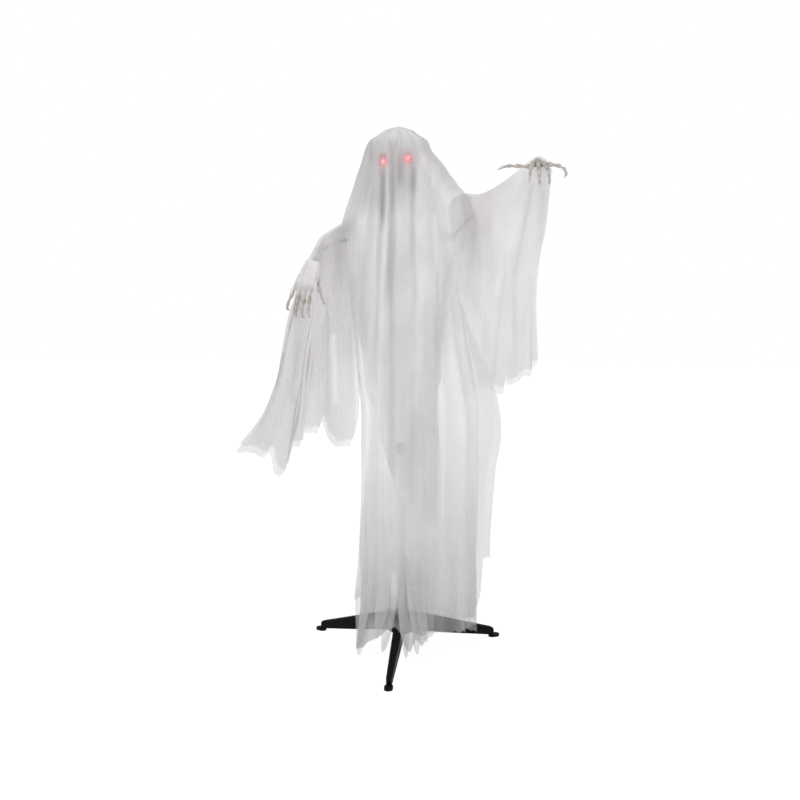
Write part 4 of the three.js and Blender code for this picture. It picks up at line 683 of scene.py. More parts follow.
def makeRobe(s):
    points = robeSurface(s)
    middle = (points[:-1, :-1] + points[1:, 1:]) / 2
    hole = s["armhole"]
    y, z = ((middle[..., k + 1] - hole["middle"][k]) / hole["size"][k] for k in (0, 1))
    armhole = (np.abs(middle[..., 0]) > hole["from"]) & (y ** 2 + z ** 2 < 1)
    low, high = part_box("pole_collar")
    collar = (-6, 500 * (low.z + high.z) - s["belowCollar"])
    doubled = 1.7 * oval(points, *s["hub"]) + 0.8 * oval(points, collar, s["collarSize"])
    tails = 0.9 * smooth(points[..., 0], 96, 84) * smooth(-points[..., 2], -170, -110)
    dense = np.maximum(doubled, tails) - 0.85 * oval(points, *s["parting"], powers=(4, 4))
    marks = {"edge": hemEdge(points, sides=True), **foldMarks(points, 9), "dense": dense * (points[..., 1] < 0)}
    robe = makeSheet("robe_cloth", points, marks, "robe", keep=~armhole)
    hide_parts("robe")
    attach(robe, "stand")


makeRobe(robeSettings)

# Torn strips that hang from inside the robe's front, over the hub

stripSettings = {
    "rows": 60, "columns": 9, "out": 6, "step": 2.5, "apart": 97,
    # x and z of the top, width there, x and z of the tip, bow sideways
    "strips": [(14, 330, 42, -41, 38, -5), (4, 345, 36, 31, 24, 5), (42, 330, 42, 63, 38, 6),
               (66, 320, 40, 92, 76, -4), (-30, 340, 50, -60, 84, 4), (-90, 330, 56, -122, 6, -5)],
    "robeHalf": 178, "robePowers": (3.23, 0.31),   # the robe's rounded section, a little outside its folds
}


def makeStrips(s, robe):
    u, v = gridOf(s, -1)
    ids = np.arange(s["rows"] * s["columns"]).reshape(s["rows"], -1)
    places, polygons, corners, edges = [], [], [], []
    for k, (topX, topZ, width, tipX, tipZ, bow) in enumerate(s["strips"]):
        taper = (1 - 0.35 * v) * np.sqrt(np.clip(1 - v ** 5, 0, 1))
        half = width / 2 * taper * (1 + 0.12 * np.sin(9 * v + 2 * k))
        x = mix(topX, tipX, v ** 1.3) + bow * np.sin(pi * v) + half * u
        z = mix(topZ, tipZ, v) + 0 * u
        share = np.clip(np.abs(x - robe["hemMiddle"]) / s["robeHalf"], 0, 0.98)
        front = profile(robe["front"])(z) * (1 - share ** s["robePowers"][0]) ** s["robePowers"][1]
        y = -front - s["out"] - s["step"] * k + 4 * np.cos(1.6 * u + 5 * v + k) + 2 * u
        places.append(np.stack([x, y, z], -1).reshape(-1, 3))
        polygons.append(np.stack(quadsOf(ids + k * ids.size), -1).reshape(-1, 4))
        flat = np.stack([x + s["apart"] * k, -z], -1) / 1000
        corners.append(np.stack(quadsOf(flat), -2).reshape(-1, 2))
        edges.append(np.minimum(half * (1 - np.abs(u)), topZ - z + 20).ravel() / 1000 + 0.004)
    place = np.concatenate(places)
    # they come out of the robe gradually
    marks = {"edge": np.concatenate(edges), "dense": 1.2 * smooth(place[:, 2], 330, 200) - 0.9}
    quads = np.concatenate(polygons).tolist()
    strips = newCloth("hem_strips_cloth", toFrame(place), quads, np.concatenate(corners), marks, "robe")
    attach(strips, "stand")


makeStrips(stripSettings, robeSettings)

# Rear drape: a panel behind the robe that widens downwards to a torn hem

drapeSettings = {
    "columns": 200, "rows": 110, "top": 1170, "spread": 62, "seat": 2.2,
    "widenLeft": [[0, 62], [300, 66], [560, 74], [690, 90], [800, 80], [1000, 30], [1170, 0]],
    "widenRight": [[0, 64], [146, 62], [225, 56], [380, 40], [500, 20], [700, 0], [1000, 4], [1170, 0]],
    "lift": [[0, 30], [600, 26], [1000, 14], [1170, 0]],
    "hem": [[0, 276], [0.1, 270], [0.125, 150], [0.2, 66], [0.4, 52], [0.6, 60], [0.8, 56], [0.9, 128], [1, 118]],
    "hemLength": 700, "tear": (21, 18, 10), "girth": 620, "drift": (72, (-20, 640), 14, 34, 8),
    "crinkle": [(31, 50, 260, 0.8), (32, 110, 460, 2.0), (33, 22, 70, 0.15)],
}


def drapeSurface(s, robe):
    u, v = gridOf(s)
    angle = np.radians(90 - s["spread"] + 2 * s["spread"] * u)
    across, deep = squareSection(angle, robe)
    hem = straight(s["hem"])(u) - jags(u * s["hemLength"], *s["tear"]) + 3
    z = mix(s["top"], hem, v)
    place = {key: profile(robe[key]) for key in ("middle", "half", "back", "fold")}
    fold = longFolds(place["fold"](z), angle, z) + v * softFolds(u * s["girth"], s["top"] - z, *s["drift"])
    widen = np.where(across > 0, profile(s["widenLeft"])(z), profile(s["widenRight"])(z))
    points = np.stack([
        place["middle"](z) + (place["half"](z) + s["seat"] + widen + fold) * across,
        (place["back"](z) + s["seat"] + profile(s["lift"])(z) + fold) * deep, z], -1)
    return crinkled(points, s["crinkle"])


def makeDrape(s):
    points = drapeSurface(s, robeSettings)
    marks = {"edge": hemEdge(points, sides=True), **foldMarks(points, 6)}
    drape = makeSheet("rear_drape_cloth", points, marks, "drape", flip=True)
    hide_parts("rear_drape")
    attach(drape, "stand")


makeDrape(drapeSettings)

# Veil: laid over the skull, with a long front fall and its left part thrown over the raised arm

veilSettings = {
    "columns": 560, "rows": 150, "crownAt": (-8, 4, 1587), "crownRows": 0.3, "crownDepth": 60,
    "peak": (11, 13),   # the seam of the hood stands up over the crown: its height and reach
    "middle": [[0, -8], [61, -10], [137, -12], [1587, -8]],
    "left": [[0, 0], [3, 16], [8, 41], [14, 55], [31, 86], [61, 99], [91, 124], [121, 148], [151, 170],
             [181, 196], [221, 218], [257, 232], [337, 244], [487, 250]],
    "right": [[0, 0], [3, 16], [8, 41], [14, 55], [31, 85], [61, 98], [91, 106], [129, 116], [187, 132],
              [237, 148], [276, 158], [337, 166]],
    "front": [[0, 0], [3, 16], [8, 36], [17, 66], [47, 92], [87, 101], [147, 102], [207, 106], [287, 122],
              [487, 138], [787, 156], [1137, 166]],
    "back": [[0, 0], [3, 18], [8, 44], [17, 76], [47, 100], [87, 108], [147, 110], [237, 110], [297, 118],
             [537, 140]],
    "fold": [[0, 0], [27, 1], [107, 3], [287, 5], [787, 7], [1587, 8]],
    "hem": [[-180, 285], [-165, 296], [-150, 330], [-138, 470], [-127, 620], [-118, 737], [-107, 812],
            [-95, 960], [-86, 1055], [-78, 1080], [-68, 1130], [-60.5, 1139], [-57.5, 900], [-53, 547],
            [-40, 417], [-25, 300], [0, 262], [25, 275], [60, 457], [90, 537], [130, 477], [158, 317],
            [180, 285]],
    # pleats that fall from the brow, and the valleys between them: sideways place, width and height
    "pleats": [[-64, 11, 4], [-45, 7, -5], [-31, 8, 6], [-9, 7, -5], [8, 11, 7], [43, 9, -4.5], [70, 15, 4.5],
               [98, 9, -3]],
    "brow": [[-22, 5, 3], [-8, 4, 2.6], [4, 5, 2.2]],
    "perDegree": 3.2, "tear": (8, 16, 12),
    "drift": (73, (-576, 576), 24, 30, 8, 1152),   # the last is the whole girth
    "crinkle": [(41, 46, 200, 0.6), (42, 100, 380, 1.8), (43, 22, 60, 0.15)],
    # painted shade where the cloth sinks over the face, and over the face's middle and its left side: sideways
    # place, height, half width, half height and strength
    "shaded_hollows": [(-41, 1499, 15, 17, 0.5), (-40, 1385, 8, 85, 0.62), (8, 1468, 11, 52, 0.45),
                (33, 1503, 15, 15, 0.4), (48, 1448, 9, 46, 0.55), (-81, 1522, 6, 30, 0.25),
                (-24, 1538, 4, 22, 0.3), (-8, 1533, 4, 20, 0.25), (-34, 1450, 84, 110, 0.3),
                (44, 1330, 9, 120, 0.22), (10, 1480, 50, 60, 0.12), (-90, 1460, 40, 120, 0.32),
                (0, 1536, 70, 24, 0.14)],
    # the lamps' glow on the cloth, a little outwards and below them: strength and radius
    "glowShift": (6, -3), "glow": [(1.0, 9.5), (0.22, 22)],
}


def veilPleats(s, x, below, deep):   # how far the pleats of the front stand out
    pleat = np.zeros_like(x)
    for at, width, height in s["pleats"]:
        drift = at * (1 + 0.35 * smooth(below, 60, 900)) + 5 * np.sin(below / 170 + at)
        wide = width * (1 + 0.8 * smooth(below, 100, 700))
        pleat = pleat + height * np.exp(-(((x - drift) / wide) ** 2))
    pleat = pleat * smooth(below, 22, 110) * smooth(-deep, 0.25, 0.6)
    brow = smooth(below, 4, 26) * (1 - smooth(below, 50, 100)) * (deep < 0)
    for at, width, height in s["brow"]:
        pleat = pleat + height * np.exp(-(((x - at) / width) ** 2)) * brow
    return pleat


def veilSurface(s):   # rows go down from the crown by their depth below it
    u = np.arange(s["columns"])[None, :] / s["columns"]
    v = np.linspace(0, 1, s["rows"])[:, None]
    angle = tau * u - pi
    turned = np.degrees(angle)
    torn = jags(turned * s["perDegree"], *s["tear"]) * smooth(np.abs(turned), 0, 30)
    depth = straight(s["hem"])(turned) + torn - 3
    rows, crown = s["crownRows"], s["crownDepth"]
    fall = mix(crown, depth, np.clip((v - rows) / (1 - rows), 0, 1))
    below = np.where(v < rows, crown * (v / rows) ** 1.8, fall)
    place = {key: profile(s[key]) for key in ("middle", "left", "right", "front", "back", "fold")}
    fold = place["fold"](below) * (0.7 * np.cos(10 * angle) + 0.3 * np.cos(7 * angle + 2))
    across, deep = np.cos(angle), np.sin(angle)
    wide = np.where(across > 0, place["left"](below), place["right"](below)) + fold
    reach = np.where(deep < 0, place["front"](below), place["back"](below)) + fold
    x = place["middle"](below) + wide * across
    sway = softFolds(turned * s["perDegree"], below, *s["drift"]) * smooth(below, 60, 420)
    reach = reach + veilPleats(s, x, below, deep) + sway
    y = s["crownAt"][1] * (1 - smooth(below, 0, 87)) + reach * deep
    peak = s["peak"][0] * np.exp(-((below / s["peak"][1]) ** 2))
    points = np.stack([x + 0.6 * sway * across, y, s["crownAt"][2] - below + peak], -1)
    return mix(points, crinkled(points, s["crinkle"], wrap=True), smooth(below, 12, 140)[..., None])


def eyeGlow(points, s):   # 1 in front of an eye lamp, falling off round it on the face side
    glow = np.zeros(points.shape[:-1])
    for side in ("left", "right"):
        low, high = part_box(side + "_eye_lamp")
        x, z = 500 * (low.x + high.x) + s["glowShift"][0], 500 * (low.z + high.z) + s["glowShift"][1]
        away = np.hypot(points[..., 0] - x, points[..., 2] - z)
        spot = sum(strength * np.exp(-((away / radius) ** 2)) for strength, radius in s["glow"])
        glow = np.maximum(glow, spot * (points[..., 1] < -30))
    return np.clip(glow, 0, 1)


def makeVeil(s):
    points = veilSurface(s)
    marks = {"edge": hemEdge(points), **foldMarks(points, 10, -1, wrap=True)}
    marks["gather"] *= np.linspace(0, 1, s["rows"])[:, None] ** 0.5
    below = s["crownAt"][2] - points[..., 2]
    marks["valley_shade"] *= smooth(below, 14, 60) * 0.4
    # painted shade: each hollow adds to the cloth's valley darkening
    for x, z, wide, tall, strength in s["shaded_hollows"]:
        sunk_shade = strength * oval(points, (x, z), (wide, tall), powers=(2, 4)) * (points[..., 1] < 0)
        marks["valley_shade"] = np.clip(marks["valley_shade"] + sunk_shade, 0, 1)
    turned = tau * np.arange(s["columns"])[None, :] / s["columns"] - pi
    facing = mix(0.35, 1.0, smooth(-np.sin(turned), 0.3, 0.8))
    facing = np.where(np.cos(turned) < 0, mix(facing, 1.0, 0.7), facing)
    # a single thin layer stretches from the head to the arms
    aside = smooth(np.cos(turned), 0.5, 0.75) * smooth(below, 130, 220)
    aside = aside + smooth(-np.cos(turned), 0.6, 0.8) * smooth(below, 225, 290)
    marks["dense"] = facing * mix(1.0, 0.3, smooth(below, 350, 800)) - 0.8 * aside
    marks["glow"] = eyeGlow(points, s)
    veil = makeSheet("veil_cloth", points, marks, "veil", wrap=True, crown=True)
    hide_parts("head_veil")
    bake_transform(veil)


makeVeil(veilSettings)

# Sleeves: each lies over its arm rod and hangs on both sides of it to a torn hem

sleeveCloth = {
    "ridgeShare": 0.12, "ridgeTurn": 80, "seat": 7,   # the columns that turn round the rod, by so many degrees
    "length": 330, "fall": 420, "tear": (12, 8), "drift": ((-20, 350), 11, 26, 7), "rearHem": 16,
    "deepen": [[0, 0], [0.2, 0.02], [0.45, 0.3], [1, 1]],
}
sleeveSettings = {
    "left": {
        "columns": 160, "rows": 230, "spread": 14, "fold": 7, "folds": 3, "seed": 51,
        "ridge": [(140, 26, 1360), (160, 24, 1384), (184, 20, 1396), (217, -3, 1393), (241, -22, 1395),
                  (274, -49, 1408), (307, -76, 1427), (336, -101, 1447), (364, -126, 1468), (386, -144, 1484),
                  (401, -152, 1491), (420, -150, 1481), (435, -148, 1452)],
        "ridgeSide": (-0.5, -0.87, 0), "hemSide": (-0.1, -1, 0), "hemStart": (236, -62), "hemEnd": (409, -85),
        "hem": [[0, 834], [0.23, 830], [0.353, 816], [0.434, 819], [0.45, 858], [0.486, 844], [0.624, 850],
                [0.77, 871], [0.885, 874], [0.9, 899], [1, 903]],
        "inner": [[0, 0], [0.3, 0.14], [0.6, 0.45], [1, 1]],
        "outer": [[0, 0], [0.12, 0.15], [0.27, 0.4], [0.43, 0.96], [0.6, 1.25], [0.72, 1.3], [0.86, 1.18],
                  [1, 1]],
        # painted shade in creases and in the shadow under the raised hand (darker), and gaps (thinner): from x, z
        # to x, z, half width, darker by, denser by
        "marks": [(358, 1405, 288, 1120, 13, 0.0, -0.5), (384, 1417, 340, 1178, 6, 0.6, 0.3),
                  (416, 1430, 410, 1206, 12, 0.35, 0.5), (378, 1063, 379, 915, 4, 0.0, -0.7),
                  (314, 1235, 276, 835, 6, 0.3, 0.3), (330, 1230, 345, 880, 5, 0.25, 0.2)],
        "reliefSide": 1, "body": "left_arm", "blend": (0.95, 1.30), "flat": (0.36, 0.9),
    },
    "right": {
        "columns": 170, "rows": 240, "spread": 12, "fold": 5, "folds": 3, "seed": 61,
        "ridge": [(-136, 28, 1318), (-157, 18, 1322), (-176, -2, 1310), (-196, -24, 1296), (-212, -46, 1284),
                  (-226, -75, 1270), (-232, -110, 1248), (-235, -154, 1228), (-240, -194, 1208),
                  (-250, -208, 1192), (-262, -208, 1170)],
        "ridgeSide": (-1, 0.1, 0), "hemSide": (-0.15, -1, 0), "hemStart": (-118, -104), "hemEnd": (-458, -190),
        "hem": [[0, 726], [0.02, 690], [0.053, 660], [0.176, 658], [0.247, 688], [0.297, 743], [0.335, 697],
                [0.353, 703], [0.43, 704], [0.474, 690], [0.482, 660], [0.576, 661], [0.594, 596], [0.64, 578],
                [0.7, 594], [0.715, 636], [0.738, 647], [0.785, 630], [0.906, 650], [0.988, 650], [1, 659]],
        "inner": [[0, 0], [0.5, 0.46], [1, 1]],
        "outer": [[0, 0], [0.14, 0.1], [0.36, 0.255], [0.59, 0.38], [0.706, 0.49], [0.82, 0.63], [0.94, 0.86],
                  [1, 1]],
        "marks": [(-196, 985, -186, 790, 8, 0.0, -0.7), (-215, 1100, -205, 760, 5, 0.3, 0.3),
                  (-150, 1000, -140, 800, 6, 0.2, 0.2), (-270, 1120, -300, 800, 9, 0.35, 0.3),
                  (-330, 900, -400, 680, 7, 0.25, 0.2)],
        "reliefSide": -1, "body": "right_arm", "blend": (0.85, 1.15), "flat": (0.32, 1.1),
    },
}


def roundedPath(points, count=900):   # a centripetal curve through points, evenly spaced, and its direction
    knots = [np.array(p, float) for p in points]
    knots = [2 * knots[0] - knots[1], *knots, 2 * knots[-1] - knots[-2]]
    made = []
    for a, b, c, d in zip(knots, knots[1:], knots[2:], knots[3:]):
        t0 = 0.0
        t1 = t0 + np.linalg.norm(b - a) ** 0.5
        t2 = t1 + np.linalg.norm(c - b) ** 0.5
        t3 = t2 + np.linalg.norm(d - c) ** 0.5
        t = np.linspace(t1, t2, 160, endpoint=False)[:, None]
        spans = ((a, b, t0, t1), (b, c, t1, t2), (c, d, t2, t3))
        ab, bc, cd = (mix(p, q, (t - low) / (high - low)) for p, q, low, high in spans)
        abc, bcd = mix(ab, bc, (t - t0) / (t2 - t0)), mix(bc, cd, (t - t1) / (t3 - t1))
        made.append(mix(abc, bcd, (t - t1) / (t2 - t1)))
    line = np.concatenate([*made, knots[-2][None]])
    run = runOf(line, 0)
    even = np.linspace(0, run[-1], count)
    place = np.stack([np.interp(even, run, line[:, k]) for k in range(3)], -1)
    return place, unit(np.gradient(place, axis=0))


def ridgeFrame(s, v):   # the ridge over the arm rod, and the directions aside from it and up
    route, direction = roundedPath(s["ridge"])
    share, at = v * (len(route) - 1), np.arange(len(route))
    ridge, along = (np.stack([np.interp(share, at, line[:, k]) for k in range(3)], -1)
                    for line in (route, direction))
    side = unit(np.cross(np.array([0, 0, 1.0]), along))
    side *= np.where(side @ np.array(s["ridgeSide"]) < 0, -1, 1)[:, None]
    up = np.cross(along, side)
    up *= np.where(up[:, 2] < 0, -1, 1)[:, None]
    return ridge[:, None], side[:, None], up[:, None]


def sleeveSurface(s):   # columns go from the front hem over the ridge to the rear hem, rows along the arm
    cloth, seed = sleeveCloth, s["seed"]
    across, w = gridOf(s, -1)
    ridge, side, up = ridgeFrame(s, w[:, 0])
    share = cloth["ridgeShare"]
    turn = (-np.clip(across / share, -1, 1) * radians(cloth["ridgeTurn"]))[..., None]
    lying = ridge + cloth["seat"] * (np.sin(turn) * side + np.cos(turn) * up)
    drop = np.clip((np.abs(across) - share) / (1 - share), 0, 1)
    front = -np.sign(across)
    torn = jags(w * cloth["length"] + 70 * front, seed, *cloth["tear"])
    hemZ = straight(s["hem"])(w) + np.where(front > 0, 0, cloth["rearHem"]) - torn + 3
    hemX, hemY = (mix(s["hemStart"][k], s["hemEnd"][k], w) for k in (0, 1))
    out = mix(profile(s["inner"])(drop), profile(s["outer"])(drop), w ** 2)
    deep = profile(cloth["deepen"])(drop)
    facing = unit(mix(side, np.array(s["hemSide"], float)[None, None], smooth(drop, 0, 0.6)[..., None]))
    fan = mix(w, 0.6 + 0.35 * w, 1 - np.minimum(1, 1.6 * drop))   # the folds spread from the wrist
    wave = np.cos(tau * s["folds"] * fan + np.where(front > 0, 0, 0.9))
    loose = softFolds(fan * cloth["length"], drop * cloth["fall"], seed + 7, *cloth["drift"]) * (1 - 0.8 * w ** 4)
    off = front * s["spread"] * drop + (s["fold"] * wave + loose) * drop ** 0.8
    points = np.stack([
        mix(lying[..., 0], hemX, out) + facing[..., 0] * off,
        mix(lying[..., 1], hemY, deep) + facing[..., 1] * off,
        mix(lying[..., 2], hemZ, drop)], -1)
    points = np.where((drop > 0)[..., None], points, lying)
    rough = crinkled(points, [(seed + 1, 46, 200, 0.7), (seed + 2, 100, 330, 2.0), (seed + 3, 22, 60, 0.15)])
    return mix(points, rough, smooth(drop, 0.02, 0.3)[..., None]), drop


def makeSleeve(side, s):
    points, drop = sleeveSurface(s)
    run = runOf(points, 1)
    turned = points.transpose(1, 0, 2)   # rows now go from the front hem to the rear hem
    marks = {"edge": np.minimum(run, run[:, -1:] - run).T / 1000, **foldMarks(turned, 9, s["reliefSide"])}
    v = np.linspace(0, 1, s["rows"])[None, :]
    marks["dense"] = np.exp(-((drop / 0.2) ** 2)).T * smooth(v, 0.05, 0.3) - 0.45 * (1 - smooth(v, 0.0, 0.3))
    marks["valley_shade"] *= 0.5 * smooth(v, 0, 0.06) * (1 - smooth(v, 0.93, 1))
    # painted shade along the creases and under the hand, and thinner cloth in the gaps
    for x0, z0, x1, z1, wide, darker, denser in s["marks"]:
        place, line = turned[..., [0, 2]] - (x0, z0), np.array([x1 - x0, z1 - z0])
        share = np.clip(place @ line / (line @ line), 0, 1)
        near = np.exp(-((np.linalg.norm(place - share[..., None] * line, axis=-1) / wide) ** 2))
        marks["valley_shade"] = np.clip(marks["valley_shade"] + darker * near, 0, 1)
        marks["dense"] = marks["dense"] + denser * near
    sleeve = makeSheet(side + "_sleeve_cloth", turned, marks, "sleeve", flip=side == "left")
    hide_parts(side + "_sleeve")
    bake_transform(sleeve)


for side, settings in sleeveSettings.items():
    makeSleeve(side, settings)
print("cloth made")

# Hands: bony, with knuckles, tendons and long claws. In a hand's own frame x goes to the fingertips and z
# out of its back.

handSettings = {
    "left": {
        "before": (378, -138, 1468), "wrist": (401, -158, 1483), "direction": (0.12, -0.93, -0.22),
        "back": (0, -0.2, 1), "thumbSide": -1, "body": "left_hand", "seed": 81,
        # place across the knuckles, spread, scale and the bends of its four bones
        "fingers": [(24, 13, 0.92, (4, 18, 24, 34)), (8, 4, 1, (8, 22, 28, 38)),
                    (-8, -6, 0.96, (6, 26, 26, 40)), (-24, -38, 0.85, (0, 14, 42, 66))],
        "thumb": (78, 0.95, (-6, 2, 10, 16)),
    },
    "right": {
        "before": (-230, -178, 1203), "wrist": (-232, -202, 1193), "direction": (-0.3, -0.2, -0.92),
        "back": (-0.25, -0.9, 0.35), "thumbSide": 1, "body": "right_hand", "seed": 91,
        "fingers": [(24, 8, 0.92, (2, 12, 18, 34)), (8, 3, 1, (4, 10, 24, 38)),
                    (-8, -3, 1.02, (6, 14, 14, 28)), (-24, -14, 0.95, (4, 10, 26, 46))],
        "thumb": (30, 0.8, (8, 10, 16, 28)),
    },
}
boneSettings = {
    "lengths": [38, 26, 17, 20], "radii": [4.6, 4.0, 6.7, 3.5, 5.8, 3.1, 4.9, 3.3, 3.6, 2.3, 0.6],
    "knuckleReach": 64, "wristAlong": (22, 16, 8, 0, -6), "wristRadii": [9.5, 11, 10.4, 10.8, 7],
    "palmHalf": [[0, 3], [0.08, 10], [0.4, 18], [0.9, 25], [1, 12]],
    "palmThick": [[0, 2], [0.08, 6.5], [0.4, 6], [0.9, 4], [1, 1.5]],
    "voxel": 0.0013, "rough": 0.35,
}


def frameAlong(direction, lean):   # three axes: x along a direction, z leaning towards another
    x = unit(np.array(direction, float))
    y = unit(np.cross(lean, x))
    return np.stack([x, y, np.cross(x, y)])


def ringFaces(count, sides):   # the points' numbers on closed rings, those of their neighbours, and the faces
    ids = np.arange(count * sides).reshape(count, sides)
    after = np.roll(ids, -1, axis=1)
    return ids, after, np.stack([ids[:-1], ids[1:], after[1:], after[:-1]], -1).reshape(-1, 4)


def tubeAlong(points, radii, across, sides=20, count=70):   # rings along a curve, closed by a point at each end
    route, along = roundedPath(points, count)
    lengths = runOf(np.array(points, float), 0)
    share = np.linspace(0, 1, count)
    radius = profile(list(zip(lengths / lengths[-1], radii)))(share)
    blunt = 0.03   # the share of the length over which the first end is rounded
    ends = np.sqrt(np.clip(1 - (1 - share / blunt) ** 2, 0.02, 1))
    radius = radius * np.where(share < blunt, ends, 1)
    one = unit(across - along * (along @ across)[:, None])
    two = np.cross(along, one)
    turn = (tau * np.arange(sides) / sides)[None, :, None]
    rings = route[:, None] + radius[:, None, None] * (np.cos(turn) * one[:, None] + np.sin(turn) * two[:, None])
    ids, after, quads = ringFaces(count, sides)
    first, last = count * sides, count * sides + 1
    caps = [(first, a, b) for a, b in zip(ids[0], after[0])] + [(last, b, a) for a, b in zip(ids[-1], after[-1])]
    place = np.concatenate([rings.reshape(-1, 3), route[:1], route[-1:]])
    return place, quads.tolist() + [tuple(map(int, cap)) for cap in caps]


def makeDigit(start, knuckle, spread, curl, scale):   # a finger from the wrist, and the point of its claw
    start, knuckle = np.array(start, float), np.array(knuckle, float)
    points = [start, (start + knuckle) / 2, knuckle]
    heading, bend = radians(spread), 0.0
    for length, turn in zip(boneSettings["lengths"], curl):
        bend += radians(turn)
        along = np.array([cos(bend) * cos(heading), cos(bend) * sin(heading), -sin(bend)])
        points += [points[-1] + along * length * scale / 2, points[-1] + along * length * scale]
    across = np.array([-sin(heading), cos(heading), 0])
    return tubeAlong(points, boneSettings["radii"], across), points[-1]


def palmBody(side, rows=30, sides=36):   # a flat rounded body under the bones of the back of the hand
    v, u = np.linspace(0, 1, rows)[:, None], tau * np.arange(sides)[None, :] / sides
    half, thick = (profile(boneSettings[key])(v) for key in ("palmHalf", "palmThick"))
    across, out = side * half * boxy(np.cos(u), 0.8), -3 + thick * boxy(np.sin(u), 0.8)
    rings = np.stack([mix(-6, 60, v) + 0 * u, across, out], -1)
    ids, _, quads = ringFaces(rows, sides)
    if side < 0:
        quads = quads[:, ::-1]
    return rings.reshape(-1, 3), quads.tolist() + [ids[0].tolist()[::side], ids[-1].tolist()[::-side]]


def handForms(s, hand):   # the digits, the palm and the wrist as closed forms, and the points of the claws
    b, flip = boneSettings, s["thumbSide"]
    digits = []
    for across, spread, scale, curl in s["fingers"]:
        knuckle = (b["knuckleReach"] * (0.9 + 0.1 * scale), flip * across, 2)
        digits.append(makeDigit((6, flip * across * 0.35, 0), knuckle, flip * spread, curl, scale))
    spread, scale, curl = s["thumb"]
    digits.append(makeDigit((8, flip * 8, -4), (32, flip * 27, -8), flip * spread, curl, scale))
    along = unit(np.array(s["wrist"], float) - s["before"])
    wristLine = [hand @ (along * -k) for k in b["wristAlong"]]
    wrist = tubeAlong(wristLine, b["wristRadii"], np.array([0, 1.0, 0]), 28, 40)
    return [form for form, _ in digits] + [palmBody(flip), wrist], np.array([tip for _, tip in digits])


def fusedMesh(side, s, hand, forms):   # the forms joined into one closed mesh
    places, faces = [], []
    for place, polygons in forms:
        first = sum(map(len, places))
        faces += [[i + first for i in polygon] for polygon in polygons]
        places.append(place)
    rough = bpy.data.meshes.new(side + "_hand_rough")
    rough.from_pydata(toFrame(np.concatenate(places) @ hand + s["wrist"]).tolist(), [], faces)
    bones = bpy.data.objects.new(side + "_hand_rough", rough)
    scene.collection.objects.link(bones)
    fused = bones.modifiers.new("fused", "REMESH")
    fused.mode, fused.voxel_size = "VOXEL", boneSettings["voxel"]
    mesh = bpy.data.meshes.new_from_object(bones.evaluated_get(bpy.context.evaluated_depsgraph_get()))
    bpy.data.objects.remove(bones)
    mesh.name = side + "_hand_bones"
    return mesh


def wearDown(mesh, tips, seed):   # smooths and roughens a mesh, and marks its hollows and claws with values to 1
    count = len(mesh.vertices)
    place, normal = np.zeros(3 * count), np.zeros(3 * count)
    mesh.vertices.foreach_get("co", place)
    mesh.vertices.foreach_get("normal", normal)
    edges = np.zeros(2 * len(mesh.edges), int)
    mesh.edges.foreach_get("vertices", edges)
    place, normal, edges = place.reshape(-1, 3) * 1000, normal.reshape(-1, 3), edges.reshape(-1, 2)
    near = np.maximum(np.bincount(edges.ravel(), minlength=count), 1)[:, None]

    def relaxed(value, times, share):   # moved towards the average of each vertex's neighbours
        for _ in range(times):
            total = np.zeros_like(value)
            np.add.at(total, edges[:, 0], value[edges[:, 1]])
            np.add.at(total, edges[:, 1], value[edges[:, 0]])
            value = mix(value, total / near, share)
        return value

    place = relaxed(place, 3, 0.6)
    cavity = np.sum((relaxed(place, 14, 0.8) - place) * normal, axis=1)
    claw = 1 - smooth(np.min(np.linalg.norm(place[:, None] - tips[None], axis=-1), axis=1), 10, 24)
    grain = boneSettings["rough"] * ripples(place, seed, (7, 7, 7)) + 0.2 * ripples(place, seed + 1, (3, 3, 3))
    mesh.vertices.foreach_set("co", ((place + normal * grain[:, None]) / 1000).ravel())
    hollow = np.clip(cavity / 0.35 + 0.85 * claw, 0, 1).astype(np.float32)
    mesh.attributes.new("hollow", "FLOAT", "POINT").data.foreach_set("value", hollow)


def makeHand(side, s):
    hand = frameAlong(s["direction"], s["back"])
    forms, claws = handForms(s, hand)
    mesh = fusedMesh(side, s, hand, forms)
    wearDown(mesh, 1000 * toFrame(claws @ hand + s["wrist"]), s["seed"])
    mesh.shade_smooth()
    mesh.materials.clear()
    mesh.materials.append(materials["bone"])
    finished = bpy.data.objects.new(side + "_hand_bones", mesh)
    scene.collection.objects.link(finished)
    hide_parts(side + "_hand")
    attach(finished, s["body"])
    print(side, "hand vertices", len(mesh.vertices))


for side, settings in handSettings.items():
    makeHand(side, settings)

# Cuff: the lowered sleeve's torn end, lying over the back of the hand

cuffSettings = {
    "rows": 70, "columns": 80, "start": -15, "end": 112, "spread": 118, "curl": 0.0062, "curlFrom": 56,
    "tooth": 30, "seed": 66,
    "half": [[-30, 19], [0, 24], [30, 30], [64, 36], [110, 47]],
    "thick": [[-30, 17], [0, 15], [40, 12], [64, 11], [110, 9]],
}


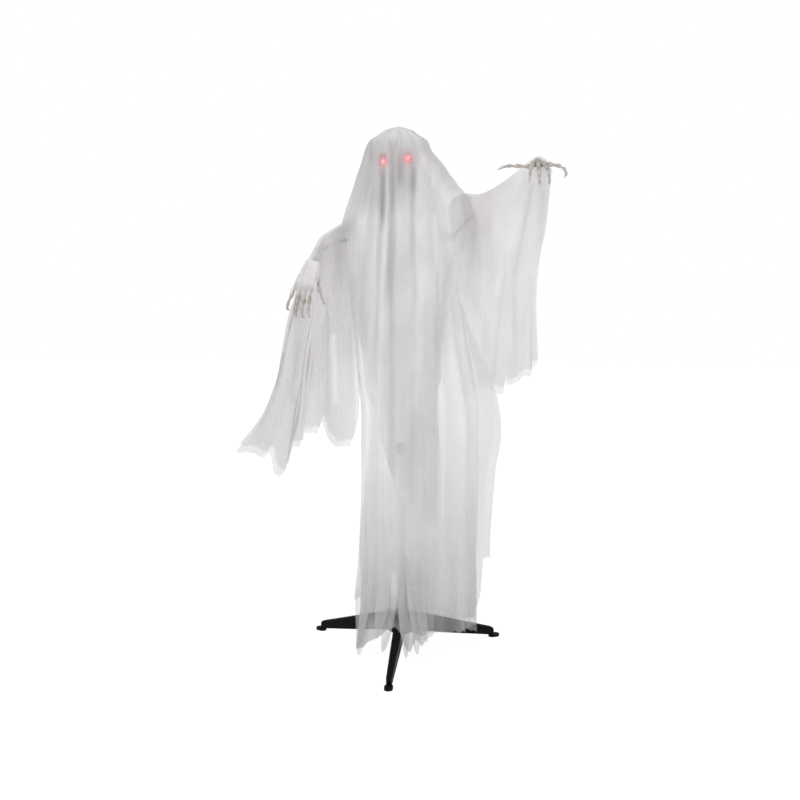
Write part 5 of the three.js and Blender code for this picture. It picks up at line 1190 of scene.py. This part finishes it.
def makeCuff(s, hand):
    u, v = gridOf(s, -1)
    along = mix(s["start"], s["end"] - 10 * u ** 2 - jags(40 * (u + 1), s["seed"], 11, s["tooth"]), v)
    turned = np.radians(90 - s["spread"] * u)
    loose = 1 + 0.05 * np.cos(13 * u + along / 30) + 0.03 * np.cos(29 * u - along / 22)
    wide, thick = profile(s["half"])(along), profile(s["thick"])(along)
    sag = s["curl"] * np.clip(along - s["curlFrom"], 0, None) ** 2
    local = np.stack([along, wide * loose * np.cos(turned), thick * loose * np.sin(turned) - sag], -1)
    points = local @ frameAlong(hand["direction"], hand["back"]) + hand["wrist"]
    thin = smooth(along, 44, 80)
    # the valley value is painted shade along the cuff's sides and towards its thin end
    marks = {"edge": hemEdge(points, sides=True), "gather": gatherOf(points), "dense": 0.9 - 1.3 * thin,
             "valley_shade": 0.55 * smooth(np.abs(u), 0.72, 1.0) + 0.25 * thin}
    cuff = makeSheet("right_cuff_cloth", points, marks, "sleeve")
    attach(cuff, hand["body"])


makeCuff(cuffSettings, handSettings["right"])

# Floor, lights and white surroundings

stageSettings = {"ambient": 0.67, "floorGlow": 0.90, "floorHalf": 9, "floorDrop": 0.0008, "veilsDeep": 24}
lightSettings = {
    "key": {"place": (-2.4, -2.8, 2.9), "target": (0, 0, 0.95), "size": 1.8, "power": 50},
    "fill": {"place": (2.8, -2.4, 1.6), "target": (0, 0, 0.9), "size": 2.0, "power": 14},
    "top": {"place": (0.3, -0.9, 3.6), "target": (0, 0, 1.4), "size": 1.8, "power": 15},
}


def makeFloor(s):
    material, tree = newMaterial("floor", Roughness=1.0, Specular_IOR_Level=0.0, Emission_Color=(1, 1, 1),
                                 Emission_Strength=s["floorGlow"])
    shade = noise(tree, objectPoint(tree), 0.8, 2.0)
    feedShader(tree, Base_Color=blendColors(tree, shade, (0.2, 0.2, 0.2), (0.22, 0.22, 0.22)))
    half, low = s["floorHalf"], -s["floorDrop"]
    mesh = bpy.data.meshes.new("floor")
    mesh.from_pydata([(-half, -half, low), (half, -half, low), (half, half, low), (-half, half, low)], [],
                     [(0, 1, 2, 3)])
    mesh.materials.append(material)
    floor = bpy.data.objects.new("floor", mesh)
    scene.collection.objects.link(floor)


def makeWorld(s):   # white where it is seen, softer where it lights the object
    world = bpy.data.worlds.new("surroundings")
    scene.world = world
    world.use_nodes = True
    tree = world.node_tree
    tree.nodes.clear()
    ray = tree.nodes.new("ShaderNodeLightPath").outputs
    seen = calculate(tree, "MAXIMUM", ray["Is Glossy Ray"], ray["Is Transmission Ray"])
    seen = calculate(tree, "MAXIMUM", ray["Is Camera Ray"], seen)
    soft, white = (addNode(tree, "ShaderNodeBackground", None, Color=(1, 1, 1), Strength=strength).outputs[0]
                   for strength in (s["ambient"], 1.0))
    chosen = addNode(tree, "ShaderNodeMixShader", None, _0=seen, _1=soft, _2=white).outputs[0]
    addNode(tree, "ShaderNodeOutputWorld", None, Surface=chosen)


def makeLight(name, s):
    data = bpy.data.lights.new(name, "AREA")
    data.shape = "DISK"
    data.size = s["size"]
    data.energy = s["power"]
    light = bpy.data.objects.new(name, data)
    scene.collection.objects.link(light)
    light.location = s["place"]
    light.rotation_euler = (Vector(s["target"]) - Vector(s["place"])).to_track_quat("-Z", "Y").to_euler()


makeFloor(stageSettings)
makeWorld(stageSettings)
for name, settings in lightSettings.items():
    makeLight(name, settings)
scene.view_settings.view_transform = "Standard"
scene.cycles.transparent_max_bounces = stageSettings["veilsDeep"]
